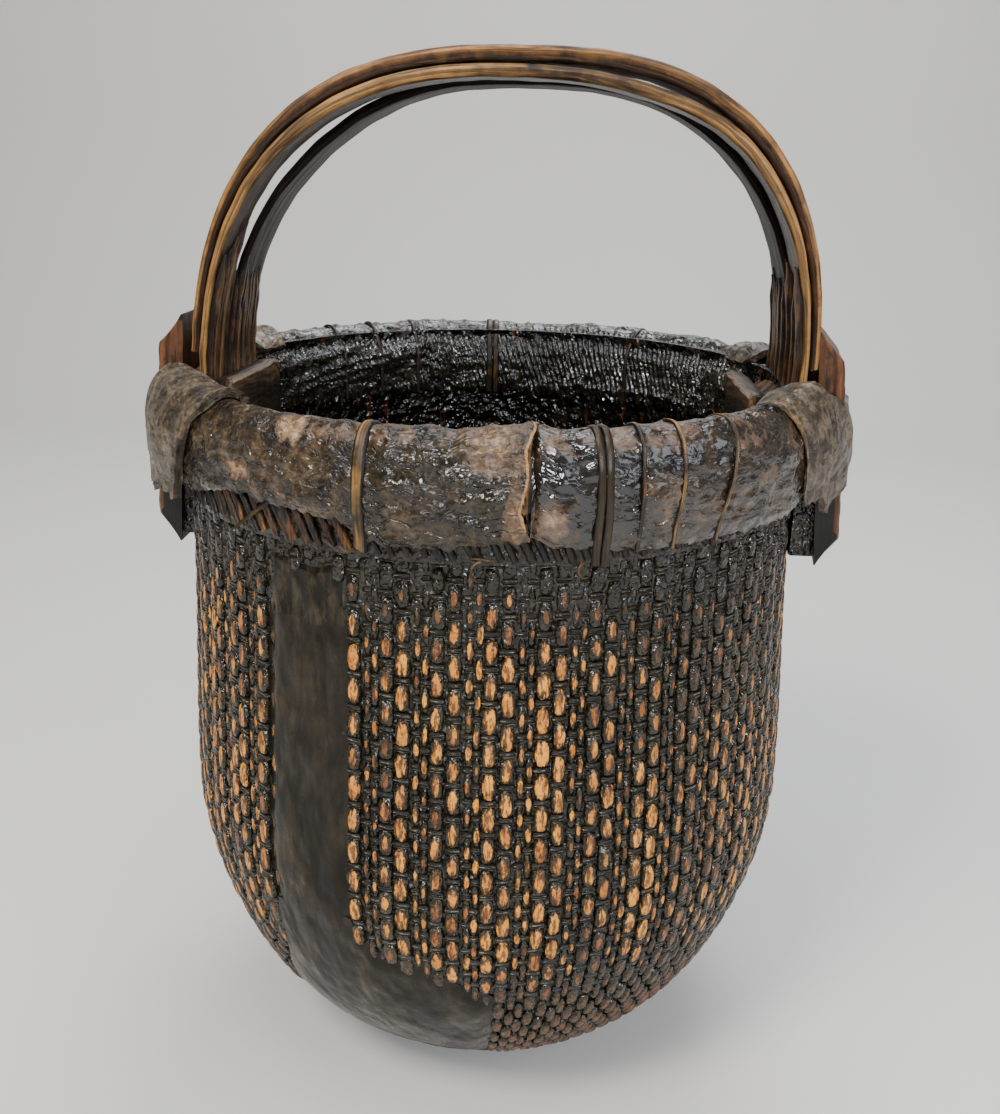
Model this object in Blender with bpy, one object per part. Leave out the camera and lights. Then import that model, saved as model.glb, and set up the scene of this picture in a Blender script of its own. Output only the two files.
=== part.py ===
"""Lacquered willow rice basket with a bent-lath handle, modelled piece by piece.

Units are metres, +Z is up, +X is the right-hand ear and -Y is the front.
The origin is the centre of the flat base. Azimuths run from the front (-Y)
towards the right ear (+X), in degrees.
"""

import math

import bmesh
import bpy
import numpy as np
from mathutils import Vector

# Clearances
GAP = 0.0003
CUT_OVERRUN = 0.004
ROUND_SIDES = 12
FULL_TURN = 360.0
HALF_TURN = 180.0
QUARTER_TURN = 90.0
CURVE_SAMPLES = 400
SOFT_ANGLE = 40.0
WEAVE_ANGLE = 7.0

# Basket wall: the outer profile, from the flat foot over the belly to the neck
RIM_TOP = 0.418
WALL_TOP_RADIUS = 0.1735
FOOT_RADIUS = 0.052
BELLY_SWELL = 0.009
BELLY_RADIUS = WALL_TOP_RADIUS + BELLY_SWELL
BELLY_HEIGHT = 0.168
NECK_SWELL = 0.003
NECK_RADIUS = WALL_TOP_RADIUS + NECK_SWELL
NECK_DROP = 0.073
NECK_HEIGHT = RIM_TOP - NECK_DROP
WALL_THICKNESS = 0.009
FLOOR_THICKNESS = 0.009
BELLY_BULGE_POWER = 0.91
FLOOR_SWEEP_POWER = 1.19

# Weave: a group is two broad stakes, whose crowns one crest joins, and two slim ones beside them
STAKE_GROUPS = 43
BROAD_AZIMUTH = 5.6
BROAD_SPREAD_SHARE = 0.16
SLIM_SPREAD_SHARE = 0.09
BEAD_PITCH = 0.0178
BEAD_RELIEF = 0.0025
SLIM_DEPTH_SHARE = 0.72
INSIDE_RINGS = 5

# Lacquered hide let into the weave: a band up the side and a patch under the base
BAND_FIRST_COLUMN = 76
BAND_LAST_COLUMN = 80
BAND_AZIMUTHS = (-36.6, -18.4)
BAND_TOP_DROP = 0.080
BAND_TOP = RIM_TOP - BAND_TOP_DROP
PATCH_REACH = 0.040
PATCH_TONGUE_REACH = 0.115
PATCH_TONGUE_AZIMUTH = -27.0
PATCH_TONGUE_WIDTH = 62.0
PATCH_RINGS = 8
SEAT_SLACK = 0.0006

# Rim: the wrapped border, its section given as shares of its width and height
RIM_OVERHANG = 0.021
RIM_OUTER_RADIUS = WALL_TOP_RADIUS + RIM_OVERHANG
RIM_WIDTH = 0.038
RIM_HEIGHT = 0.058
RIM_SECTION_SHARES = (
    (0.91, 0.00), (0.99, 0.36), (1.00, 0.56), (0.93, 0.80), (0.80, 0.94),
    (0.62, 1.00), (0.36, 0.95), (0.03, 0.62), (0.03, 0.16),
)
HIDE_THICKNESS = 0.003
HOOP_DEPTH = 0.031
ARC_STEP = 5.5
RIM_SEAM_FRONT = 9.0
RIM_SEAM_BACK = 176.0
HIDE_HEM_AZIMUTHS = (-68.0, -50.0, -37.0, -31.0, -18.0, -11.0, -3.0, 9.0, 19.0, 27.0, 58.0, 68.0, 292.0)
HIDE_HEM_RISE_SHARES = (0.19, 0.14, 0.28, 0.28, 0.21, 0.03, 0.04, 0.16, 0.03, 0.01, 0.01, 0.19, 0.19)

# Border rods lashed round the neck, under the wrap
COLLAR_THICKNESS = 0.0055
COLLAR_DEPTH = 0.030
COLLAR_EDGE_SHARE = 0.33

# Cane bindings over the rim, each with its azimuth and its slant to the hem
CANE_THICKNESS = 0.0014
CANE_HEM_LIFT = 0.0005
CANE_WIDTHS = {"wide": 0.0072, "double": 0.0090, "thin": 0.0033}
CANE_AZIMUTHS = {
    "cane_front_wide": (-14.2, 0.0),
    "cane_front_double": (19.0, 0.0),
    "cane_front_thin_1": (24.8, 0.0),
    "cane_front_thin_2": (31.1, -0.8),
    "cane_front_thin_3": (41.4, -3.2),
    "cane_back_thin_1": (149.0, 0.0),
    "cane_back_double": (184.6, 0.0),
    "cane_back_thin_2": (204.0, 0.0),
    "cane_back_thin_3": (214.0, 0.0),
    "cane_back_thin_4": (224.0, 0.0),
}

# Handle: three nested bent laths on one arch
HANDLE_SHIFT = 0.0055
HANDLE_LEAN = 0.0085
ARCH_OUTSET = 0.0002
ARCH_HALF_SPAN = WALL_TOP_RADIUS + ARCH_OUTSET
SPRING_DROP = 0.018
ARCH_SPRING = RIM_TOP - SPRING_DROP
ARCH_RISE = 0.168
ARCH_TOP = RIM_TOP + ARCH_RISE
ARCH_POWER = 2.6
LATH_STATIONS = 30
HALF_ARCH_TURN = math.pi / 4
LATH_EDGE = 0.0022
LATH_EDGE_SHARE = 0.33
LATH_GAP = 0.0006
BOW_FRONT = -0.0430
BOW_BACK = 0.0050
BOW_THICKNESS = 0.0084
BOW_FOOT_RISE = 0.012
BOW_FOOT_HEIGHT = RIM_TOP + BOW_FOOT_RISE
ROD_FRONT = -0.0455
ROD_BACK = -0.0100
ROD_THICKNESS = 0.0066
LATH_FRONT = -0.0040
LATH_BACK = 0.0450
LATH_THICKNESS = 0.0058
LATH_SLACK = 0.0055
LATH_CREST_SLACK = 0.00275
RIGHT_SLACK_SHARE = 0.25
FOOT_THINNING_SHARE = 0.62
FOOT_THINNING_POWER = 3.0
POCKET_DROP = 0.010
POCKET_TOP = RIM_TOP - POCKET_DROP
POCKET_RISE = 0.036
FOOT_DROP = 0.083
FOOT_BOTTOM = RIM_TOP - FOOT_DROP
SPLINT_THICKNESS = 0.0044
SPLINT_GAP = 0.0006
SPLINT_STEP = 0.0100
SPLINT_RISES = {"left": (0.0440, 0.0650), "right": (0.0520, 0.0380)}

# Outer cleats: chamfered boards outside the wall, leaning in at the top
CLEAT_WIDTH = 0.065
CLEAT_THICKNESS = 0.0145
CLEAT_RISE = 0.026
CLEAT_TOP = RIM_TOP + CLEAT_RISE
CLEAT_DROP = 0.108
CLEAT_BOTTOM = RIM_TOP - CLEAT_DROP
CLEAT_CHAMFER = 0.0170
CLEAT_SHIFT = 0.003
CLEAT_TOP_OUTSET = 0.0033
CLEAT_REACH_TOP = WALL_TOP_RADIUS + CLEAT_TOP_OUTSET
CLEAT_BOTTOM_OUTSET = 0.0130
CLEAT_REACH_BOTTOM = WALL_TOP_RADIUS + CLEAT_BOTTOM_OUTSET
CLEAT_SWINGS = {"left": 0.0, "right": 7.0}
WEDGE_WIDTH = 0.056
WEDGE_TOP_DROP = 0.066
WEDGE_TOP = RIM_TOP - WEDGE_TOP_DROP

# Inner cleats: boards set as chords inside the rim
BOARD_LENGTH = 0.108
BOARD_THICKNESS = 0.0115
BOARD_TOP_DROP = 0.0065
BOARD_TOP = RIM_TOP - BOARD_TOP_DROP
BOARD_TOP_SLOPE = 0.0050
BOARD_DEPTH = 0.0665
BOARD_BOTTOM = BOARD_TOP - BOARD_DEPTH
BOARD_EDGE = 0.0015
BEVEL_PROFILE_SHARE = 0.5

# Pegs that pin cleat, wall, foot and board together
PEG_RADIUS = 0.0035
PEG_HEIGHT_SHARE = 0.6165
PEG_HEIGHT = BOARD_BOTTOM + BOARD_DEPTH * PEG_HEIGHT_SHARE

# Ear hides: saddles that wrap each outer cleat to the rim, at azimuths off the ear's middle,
# the innermost of which reach over fewer points of the rim's section
EAR_THICKNESS = 0.003
EAR_DROP = 0.070
EAR_BOTTOM = RIM_TOP - EAR_DROP
EAR_HEM_RISE = 0.013
EAR_TOP_DROP = 0.013
EAR_TOP = RIM_TOP - EAR_TOP_DROP
EAR_BULGE = 0.0015
EAR_FRONT_AZIMUTHS = {"left": (42.0, 37.0, 32.0), "right": (34.0, 30.5)}
EAR_INNER_AZIMUTHS = (27.0, 23.0, 19.5, 17.3, 15.2)
EAR_INNER_POINTS = (7, 7, 7, 6, 5)
EAR_PATH_POINTS = 7
EAR_TURN_STEPS = 3

SIDES = {"left": -1, "right": 1}


def clear_scene():
    """Remove every object, so that the file builds into an empty scene."""
    for old in list(bpy.data.objects):
        bpy.data.objects.remove(old, do_unlink=True)


def finish(name, colour, roughness, metallic=0.0):
    """Return a Principled BSDF material of one colour."""
    made = bpy.data.materials.new(name)
    made.use_nodes = True
    shader = made.node_tree.nodes["Principled BSDF"]
    shader.inputs["Base Color"].default_value = (*colour, 1.0)
    shader.inputs["Roughness"].default_value = roughness
    shader.inputs["Metallic"].default_value = metallic
    made.diffuse_color = (*colour, 1.0)
    return made


def add_piece(name, bm, material, sharp_angle=SOFT_ANGLE):
    """Turn a bmesh into a named object with outward faces and soft shading."""
    bmesh.ops.recalc_face_normals(bm, faces=bm.faces)
    mesh = bpy.data.meshes.new(name)
    bm.to_mesh(mesh)
    bm.free()
    mesh.shade_smooth()
    mesh.set_sharp_from_angle(angle=math.radians(sharp_angle))
    mesh.materials.append(material)
    piece = bpy.data.objects.new(name, mesh)
    bpy.context.collection.objects.link(piece)
    return piece


def polar(azimuth, radius, height):
    """Return the point at an azimuth from the front, a radius and a height."""
    turn = math.radians(azimuth)
    return Vector((radius * math.sin(turn), -radius * math.cos(turn), height))


def add_ring(bm, points):
    """Add a closed ring of edges through the points."""
    verts = [bm.verts.new(point) for point in points]
    return [bm.edges.new(pair) for pair in zip(verts, verts[1:] + verts[:1])]


def loft(rings):
    """Extrude a closed ring through a row of rings into one solid with capped ends."""
    bm = bmesh.new()
    loop = add_ring(bm, rings[0])
    verts = bm.verts[:]
    ends = [loop]
    for ring in rings[1:]:
        made = bmesh.ops.extrude_edge_only(bm, edges=loop)["geom"]
        new = {item for item in made if isinstance(item, bmesh.types.BMVert)}
        verts = [next(e.other_vert(v) for e in v.link_edges if e.other_vert(v) in new) for v in verts]
        loop = [bm.edges.get(pair) for pair in zip(verts, verts[1:] + verts[:1])]
        for vert, point in zip(verts, ring):
            vert.co = point
    ends.append(loop)
    for end in ends:
        bmesh.ops.contextual_create(bm, geom=end)
    return bm


def stations(first, last, step):
    """Return evenly spaced values from first to last, at most a step apart."""
    count = max(2, math.ceil(abs(last - first) / step) + 1)
    return np.linspace(first, last, count)


def smooth_step(share):
    """Ease a share from 0 to 1."""
    clipped = min(1.0, max(0.0, share))
    return clipped * clipped * (3.0 - 2.0 * clipped)


# The wall's outer profile


def foot_curve(turn):
    """Return a point of the rounded bottom: turn runs from 0 at the foot to a quarter."""
    radius = FOOT_RADIUS + (BELLY_RADIUS - FOOT_RADIUS) * math.sin(turn) ** BELLY_BULGE_POWER
    return radius, BELLY_HEIGHT - BELLY_HEIGHT * math.cos(turn) ** FLOOR_SWEEP_POWER


def body_radius(height):
    """Return the outer radius of the plain wall at a height above the belly."""
    if height < NECK_HEIGHT:
        rise = (height - BELLY_HEIGHT) / (NECK_HEIGHT - BELLY_HEIGHT)
        return BELLY_RADIUS + (NECK_RADIUS - BELLY_RADIUS) * smooth_step(rise)
    rise = (height - NECK_HEIGHT) / (RIM_TOP - NECK_HEIGHT)
    return NECK_RADIUS + (WALL_TOP_RADIUS - NECK_RADIUS) * rise


def wall_profile():
    """Return the outer profile as dense radii, heights and lengths along it."""
    points = [foot_curve(turn) for turn in np.linspace(0.0, math.pi / 2, CURVE_SAMPLES)]
    for height in np.linspace(BELLY_HEIGHT, WALL_TOP_OUTER, CURVE_SAMPLES)[1:]:
        points.append((body_radius(height), height))
    radii, heights = np.array(points).T
    lengths = np.concatenate([[0.0], np.cumsum(np.hypot(np.diff(radii), np.diff(heights)))])
    return radii, heights, lengths


def profile_at(length, depth=0.0):
    """Return radius and height at a length along the profile, sunk in by a depth."""
    radii, heights, lengths = PROFILE
    slope_r = np.interp(length, lengths, np.gradient(radii, lengths))
    slope_z = np.interp(length, lengths, np.gradient(heights, lengths))
    scale = math.hypot(slope_r, slope_z)
    radius = np.interp(length, lengths, radii) - depth * slope_z / scale
    height = np.interp(length, lengths, heights) + depth * slope_r / scale
    return radius, height


def length_at_height(height):
    """Return the length along the profile where it reaches a height."""
    _, heights, lengths = PROFILE
    return float(np.interp(height, heights, lengths))


# The rim's section


def rim_outline(inset):
    """Return the rim's outline, outer hem to inner hem, drawn in by an inset."""
    inner = RIM_OUTER_RADIUS - RIM_WIDTH
    base = RIM_TOP - RIM_HEIGHT
    outer = [(inner + across * RIM_WIDTH, base + up * RIM_HEIGHT) for across, up in RIM_SECTION_SHARES]
    drawn = []
    for before, (radius, height), after in zip(outer[:1] + outer, outer, outer[1:] + outer[-1:]):
        along_r, along_z = after[0] - before[0], after[1] - before[1]
        scale = math.hypot(along_r, along_z)
        drawn.append((radius - inset * along_z / scale, height + inset * along_r / scale))
    return drawn


def rim_height_at(radius, inset):
    """Return the height of the drawn-in outline over a radius."""
    outline = rim_outline(inset)
    top = sorted(outline[2:-1])
    return float(np.interp(radius, [point[0] for point in top], [point[1] for point in top]))


def rim_radius_at(height, points):
    """Return the radius of a stretch of the outline at a height."""
    rising = sorted((z, radius) for radius, z in points)
    return float(np.interp(height, [point[0] for point in rising], [point[1] for point in rising]))


def hem_height(azimuth):
    """Return the height of the wrap's outer hem, which waves round the basket."""
    start = HIDE_HEM_AZIMUTHS[0]
    around = (azimuth - start) % FULL_TURN + start
    share = np.interp(around, HIDE_HEM_AZIMUTHS, HIDE_HEM_RISE_SHARES)
    return RIM_TOP - RIM_HEIGHT * (1.0 - share)


UNDER_HIDE = HIDE_THICKNESS + GAP
WALL_TOP_OUTER = rim_height_at(WALL_TOP_RADIUS, UNDER_HIDE) - GAP
WALL_TOP_INNER = rim_height_at(WALL_TOP_RADIUS - WALL_THICKNESS, UNDER_HIDE) - GAP
PROFILE = wall_profile()
HOOP_BOTTOM = WALL_TOP_OUTER - HOOP_DEPTH
HOOP_SEAT_OUTER = body_radius(HOOP_BOTTOM) + GAP
HOOP_SEAT_INNER = WALL_TOP_RADIUS - WALL_THICKNESS - GAP


# Woven body, with the band and the patch that are let into it


def patch_edge(azimuth):
    """Return how far up the profile the base patch reaches at an azimuth."""
    off = (azimuth - PATCH_TONGUE_AZIMUTH + HALF_TURN) % FULL_TURN - HALF_TURN
    tongue = 1.0 - smooth_step(abs(off) / PATCH_TONGUE_WIDTH)
    return PATCH_REACH + (PATCH_TONGUE_REACH - PATCH_REACH) * tongue


def row_lengths():
    """Return the lengths along the profile of the weave's half rows."""
    woven_to = length_at_height(HOOP_BOTTOM - COLLAR_DEPTH)
    rows = 2 * round(woven_to / BEAD_PITCH)
    return [woven_to * row / rows for row in range(rows + 1)]


def column_azimuth(column, row=None):
    """Return a column's azimuth: the broad and slim crests step to and fro between half rows.

    Even columns are the broad stakes' and odd ones the slim stakes'; with no row, the middle.
    """
    group = FULL_TURN / STAKE_GROUPS
    if column in (BAND_FIRST_COLUMN, BAND_LAST_COLUMN):
        return BAND_AZIMUTHS[column == BAND_LAST_COLUMN]
    middle = BROAD_AZIMUTH + group * column / 2.0
    if row is None or BAND_FIRST_COLUMN < column < BAND_LAST_COLUMN:
        return middle
    spread = group * (SLIM_SPREAD_SHARE if column % 2 else BROAD_SPREAD_SHARE)
    return middle + spread * (-1) ** (row + 1)


def body_depth(column, length):
    """Return the weave's depth, or the seat's depth under the band and the patch."""
    half_group = HALF_TURN / STAKE_GROUPS
    azimuth = column_azimuth(column)
    in_band = BAND_FIRST_COLUMN <= column <= BAND_LAST_COLUMN
    under_band = in_band and length < length_at_height(BAND_TOP) + BEAD_PITCH / 2
    reach = max(patch_edge(azimuth - half_group), patch_edge(azimuth), patch_edge(azimuth + half_group))
    if under_band or length < reach + BEAD_PITCH / 2:
        return BEAD_RELIEF + GAP + SEAT_SLACK
    return BEAD_RELIEF * SLIM_DEPTH_SHARE if column % 2 else 0.0


def woven_body(material):
    """Build the wall: a woven outside, a plain inside and a flat floor."""
    lengths = row_lengths()
    columns = range(2 * STAKE_GROUPS)
    azimuths = [column_azimuth(column) for column in columns]
    rings = []
    for row, length in enumerate(lengths):
        ring = []
        for column in columns:
            place = profile_at(length, body_depth(column, length))
            ring.append(polar(column_azimuth(column, row), *place))
        rings.append(ring)
    for length in (lengths[-1] + BEAD_PITCH / 2, PROFILE[2][-1]):
        rings.append([polar(azimuth, *profile_at(length)) for azimuth in azimuths])
    inner_top = WALL_TOP_RADIUS - WALL_THICKNESS
    rings.append([polar(azimuth, inner_top, WALL_TOP_INNER) for azimuth in azimuths])
    lowest = length_at_height(FLOOR_THICKNESS)
    for length in np.linspace(lengths[-1], lowest, INSIDE_RINGS):
        radius, height = profile_at(length, WALL_THICKNESS)
        rings.append([polar(azimuth, radius, max(height, FLOOR_THICKNESS)) for azimuth in azimuths])
    return add_piece("woven_body", loft(rings), material, WEAVE_ANGLE)


def surface_piece(name, columns, material):
    """Build a sheet let into the weave from columns of (azimuth, lengths)."""
    rings = []
    for azimuth, lengths in columns:
        outside = [polar(azimuth, *profile_at(length)) for length in lengths]
        inside = [polar(azimuth, *profile_at(length, BEAD_RELIEF)) for length in reversed(lengths)]
        rings.append(outside + inside)
    return add_piece(name, loft(rings), material)


def side_band(material):
    """Build the smooth band of lacquered hide up the left front of the wall."""
    first, last = BAND_AZIMUTHS
    margin = math.degrees(GAP / BELLY_RADIUS)
    azimuths = stations(first + margin, last - margin, HALF_TURN / STAKE_GROUPS)
    reach = max(patch_edge(azimuth) for azimuth in azimuths) + BEAD_PITCH / 4
    columns = []
    for azimuth in azimuths:
        low, high = patch_edge(azimuth) + GAP, length_at_height(BAND_TOP)
        between = [length for length in row_lengths() if reach < length < high - BEAD_PITCH / 4]
        columns.append((azimuth, [low, *between, high]))
    return surface_piece("side_band", columns, material)


def base_patch(material):
    """Build the patch under the base, flat where the basket rests."""
    azimuths = [FULL_TURN / STAKE_GROUPS * index for index in range(STAKE_GROUPS)]
    shares = [index / PATCH_RINGS for index in range(PATCH_RINGS + 1)]
    outside = [[polar(a, *profile_at(patch_edge(a) * share)) for a in azimuths] for share in shares]
    under = [
        [polar(a, *profile_at(patch_edge(a) * share, BEAD_RELIEF)) for a in azimuths]
        for share in reversed(shares)
    ]
    return add_piece("base_patch", loft(outside + under), material)


# Rim: hoops, collar, hide wraps and cane bindings


def arc_piece(name, section_at, first, last, material, step=ARC_STEP):
    """Sweep a section of (radius, height) points round from first to last azimuth."""
    rings = []
    for azimuth in stations(first, last, step):
        rings.append([polar(azimuth, *point) for point in section_at(azimuth)])
    return add_piece(name, loft(rings), material)


def outer_hoop_section(_azimuth):
    """Return the section of the outer hoop, which fills the wrap outside the wall."""
    outline = rim_outline(UNDER_HIDE)
    seat = HOOP_SEAT_OUTER
    top = rim_height_at(seat, UNDER_HIDE)
    low = rim_radius_at(HOOP_BOTTOM, outline[1:3])
    return [(seat, HOOP_BOTTOM), (low, HOOP_BOTTOM), *outline[2:5], (seat, top)]


def inner_hoop_section(_azimuth):
    """Return the section of the inner hoop, which fills the wrap inside the wall."""
    outline = rim_outline(UNDER_HIDE)
    seat = HOOP_SEAT_INNER
    top = rim_height_at(seat, UNDER_HIDE)
    low = rim_radius_at(HOOP_BOTTOM, outline[-2:])
    return [(seat, HOOP_BOTTOM), (seat, top), outline[-2], (low, HOOP_BOTTOM)]


def collar_section(_azimuth):
    """Return the section of the border collar below the outer hoop."""
    top = HOOP_BOTTOM - GAP
    bottom = top - COLLAR_DEPTH
    seat = body_radius(bottom) + GAP
    round_over = COLLAR_THICKNESS * COLLAR_EDGE_SHARE
    return [
        (seat, bottom), (seat + COLLAR_THICKNESS - round_over, bottom),
        (seat + COLLAR_THICKNESS, bottom + round_over), (seat + COLLAR_THICKNESS, top), (seat, top),
    ]


def hide_section(azimuth):
    """Return the section of the wrap: outer face out and over, inner face back."""
    outer = rim_outline(0.0)
    inner = rim_outline(HIDE_THICKNESS)
    hem = hem_height(azimuth)
    outer[0] = (outer[0][0], hem)
    inner[0] = (inner[0][0], hem)
    return outer + inner[::-1]


def clear_azimuth(half_width, radius):
    """Return the angle from an ear's middle that keeps a half width clear."""
    return math.degrees(math.asin(half_width / radius))


def rim_pieces(wood, hide):
    """Build the hoops, the collar and the four hide wraps between the ears."""
    at_board = clear_azimuth(BOARD_LENGTH / 2 + GAP + HIDE_THICKNESS, RIM_OUTER_RADIUS - RIM_WIDTH)
    at_cleat = clear_azimuth(CLEAT_WIDTH / 2 + HIDE_THICKNESS, HOOP_SEAT_OUTER)
    for place, middle in (("front", 0.0), ("back", HALF_TURN)):
        arcs = (
            ("rim_hoop_outer_", outer_hoop_section, QUARTER_TURN - at_board),
            ("rim_hoop_inner_", inner_hoop_section, QUARTER_TURN - at_board),
            ("border_collar_", collar_section, QUARTER_TURN - at_cleat),
        )
        for name, section, half in arcs:
            arc_piece(name + place, section, middle - half, middle + half, wood)
    end = QUARTER_TURN - at_board
    slit = math.degrees(GAP / RIM_OUTER_RADIUS)
    wraps = {
        "rim_hide_front_left": (-end, RIM_SEAM_FRONT - slit),
        "rim_hide_front_right": (RIM_SEAM_FRONT + slit, end),
        "rim_hide_back_right": (HALF_TURN - end, RIM_SEAM_BACK - slit),
        "rim_hide_back_left": (RIM_SEAM_BACK + slit, HALF_TURN + end),
    }
    for name, (first, last) in wraps.items():
        arc_piece(name, hide_section, first, last, hide)


def cane_binding(name, azimuth, slant, material):
    """Build one strip of cane tied over the wrap, from hem to hem, as wide as its kind."""
    width = CANE_WIDTHS[name.split("_")[2]]
    under = rim_outline(-GAP)
    over = rim_outline(-GAP - CANE_THICKNESS)
    hem = hem_height(azimuth)
    under[0] = (under[0][0] + CANE_HEM_LIFT, hem)
    over[0] = (over[0][0] + CANE_HEM_LIFT, hem)
    rings = []
    for index, (low, high) in enumerate(zip(under, over)):
        leaning = azimuth + slant * (1.0 - index / len(under))
        half = math.degrees(width / 2 / low[0])
        rings.append([
            polar(leaning - half, *low), polar(leaning + half, *low),
            polar(leaning + half, *high), polar(leaning - half, *high),
        ])
    return add_piece(name, loft(rings), material)


# Handle


def arch_middle(height):
    """Return the X of the arch's middle, which leans to the right as it rises."""
    rise = (height - RIM_TOP) / (ARCH_TOP - RIM_TOP)
    return HANDLE_SHIFT + HANDLE_LEAN * min(1.0, max(0.0, rise))


def arch_point(turn, inset):
    """Return X and Z on the arch at a turn from the right foot, drawn in by an inset."""
    across, up = math.cos(turn), math.sin(turn)
    wide = (ARCH_HALF_SPAN - inset) * math.copysign(abs(across) ** (2.0 / ARCH_POWER), across)
    height = ARCH_SPRING + (ARCH_TOP - ARCH_SPRING - inset) * abs(up) ** (2.0 / ARCH_POWER)
    return arch_middle(height) + wide, height


def turn_at_height(height, inset):
    """Return the turn at which the arch, drawn in by an inset, reaches a height."""
    share = (height - ARCH_SPRING) / (ARCH_TOP - ARCH_SPRING - inset)
    return math.asin(share ** (ARCH_POWER / 2.0))


def even_turns(first, count):
    """Return turns from foot to foot that space the stations evenly along the arch."""
    turns = np.linspace(first, math.pi - first, CURVE_SAMPLES)
    places = np.array([arch_point(turn, 0.0) for turn in turns])
    steps = np.hypot(*np.diff(places, axis=0).T)
    lengths = np.concatenate([[0.0], np.cumsum(steps)])
    return np.interp(np.linspace(0.0, lengths[-1], count), lengths, turns)


def foot_share(turn):
    """Return 0 at the arch's top and 1 at its feet."""
    return abs(math.cos(turn)) ** FOOT_THINNING_POWER


def lath_ring(outer, inner, front, back):
    """Return the eight-cornered section of a lath between two (x, z) faces."""
    across = math.hypot(outer[0] - inner[0], outer[1] - inner[1])
    edge = min(LATH_EDGE, across * LATH_EDGE_SHARE)
    share = edge / across
    near_outer = [outer[i] + (inner[i] - outer[i]) * share for i in (0, 1)]
    near_inner = [inner[i] + (outer[i] - inner[i]) * share for i in (0, 1)]
    corners = (
        (outer, front + edge), (outer, back - edge), (near_outer, back), (near_inner, back),
        (inner, back - edge), (inner, front + edge), (near_inner, front), (near_outer, front),
    )
    return [Vector((x, y, z)) for (x, z), y in corners]


def bent_lath(name, first, inset_at, thickness, front, back, material):
    """Build a lath bent over the arch between two turns, thinned towards its feet."""
    rings = []
    for turn in even_turns(first, LATH_STATIONS):
        inset = inset_at(turn)
        thin = thickness * (1.0 - (1.0 - FOOT_THINNING_SHARE) * foot_share(turn))
        rings.append(lath_ring(arch_point(turn, inset), arch_point(turn, inset + thin), front, back))
    return add_piece(name, loft(rings), material)


def bow_depth(turn):
    """Return how far in the outer bow's inner face lies."""
    return BOW_THICKNESS * (1.0 - (1.0 - FOOT_THINNING_SHARE) * foot_share(turn))


def rod_depth(turn):
    """Return how far in the front rod's inner face lies."""
    rod = ROD_THICKNESS * (1.0 - (1.0 - FOOT_THINNING_SHARE) * foot_share(turn))
    return bow_depth(turn) + LATH_GAP + rod


def lath_inset(turn):
    """Return the inner lath's inset: it hangs slack of the others at the shoulders."""
    slack = LATH_SLACK * math.sin(2.0 * min(turn, math.pi - turn)) ** 2
    kept = RIGHT_SLACK_SHARE if turn < math.pi / 2 else 1.0
    return bow_depth(turn) + LATH_GAP + LATH_CREST_SLACK + slack * kept


def pocket_outer():
    """Return the X of the pocket's outer side, just inside the wall at the foot's corner."""
    inside = WALL_TOP_RADIUS - WALL_THICKNESS
    return math.sqrt(inside ** 2 - LATH_BACK ** 2) - GAP


def foot_face(height, arch_x, side, depth):
    """Blend a face from the pocket, at a depth from its outer side, to the arch."""
    rise = smooth_step((height - POCKET_TOP) / POCKET_RISE)
    pocket_x = side * (pocket_outer() - depth)
    return pocket_x + (arch_x - pocket_x) * rise


def inner_lath(material):
    """Build the broad inner lath, whose feet go down inside the wall as tenons."""
    foot = LATH_THICKNESS * FOOT_THINNING_SHARE
    rings = []
    for turn in even_turns(0.0, LATH_STATIONS):
        side = 1 if turn < math.pi / 2 else -1
        inset = lath_inset(turn)
        thin = LATH_THICKNESS * (1.0 - (1.0 - FOOT_THINNING_SHARE) * foot_share(turn))
        (outer_x, outer_z), (inner_x, inner_z) = arch_point(turn, inset), arch_point(turn, inset + thin)
        outer = (foot_face(outer_z, outer_x, side, 0.0), outer_z)
        inner = (foot_face(inner_z, inner_x, side, foot), inner_z)
        rings.append(lath_ring(outer, inner, LATH_FRONT, LATH_BACK))
    feet = []
    for side in SIDES.values():
        outer = (side * pocket_outer(), FOOT_BOTTOM)
        inner = (side * (pocket_outer() - foot), FOOT_BOTTOM)
        feet.append(lath_ring(outer, inner, LATH_FRONT, LATH_BACK))
    return add_piece("handle_inner_lath", loft([feet[1], *rings, feet[0]]), material)


def rod_inner_x(height, side):
    """Return the X of the front rod's inner face at a height near the foot."""
    turns = np.linspace(0.0, HALF_ARCH_TURN, CURVE_SAMPLES)
    if side < 0:
        turns = math.pi - turns
    face = [arch_point(turn, rod_depth(turn) + LATH_GAP) for turn in turns]
    return float(np.interp(height, [point[1] for point in face], [point[0] for point in face]))


def splint_outer_x(height, side):
    """Return the X of a splint's outer face: in the pocket, then against the rod."""
    arch_x = rod_inner_x(max(height, POCKET_TOP), side)
    return side * min(side * arch_x, side * foot_face(height, arch_x, side, 0.0))


def leg_splint(name, side, front, back, top, material):
    """Build a short splint from the pocket up to the inside of the front rod."""
    rings = []
    for height in (FOOT_BOTTOM, *stations(POCKET_TOP, top, SPLINT_STEP)):
        outer = splint_outer_x(height, side)
        inner = outer - side * SPLINT_THICKNESS
        rings.append(lath_ring((outer, height), (inner, height), front, back))
    return add_piece(name, loft(rings), material)


def splint_widths():
    """Return the front and back of each splint in the front half of a foot."""
    middle = (BOW_FRONT + LATH_FRONT) / 2
    return (BOW_FRONT, middle - SPLINT_GAP / 2), (middle + SPLINT_GAP / 2, LATH_FRONT - GAP)


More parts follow.
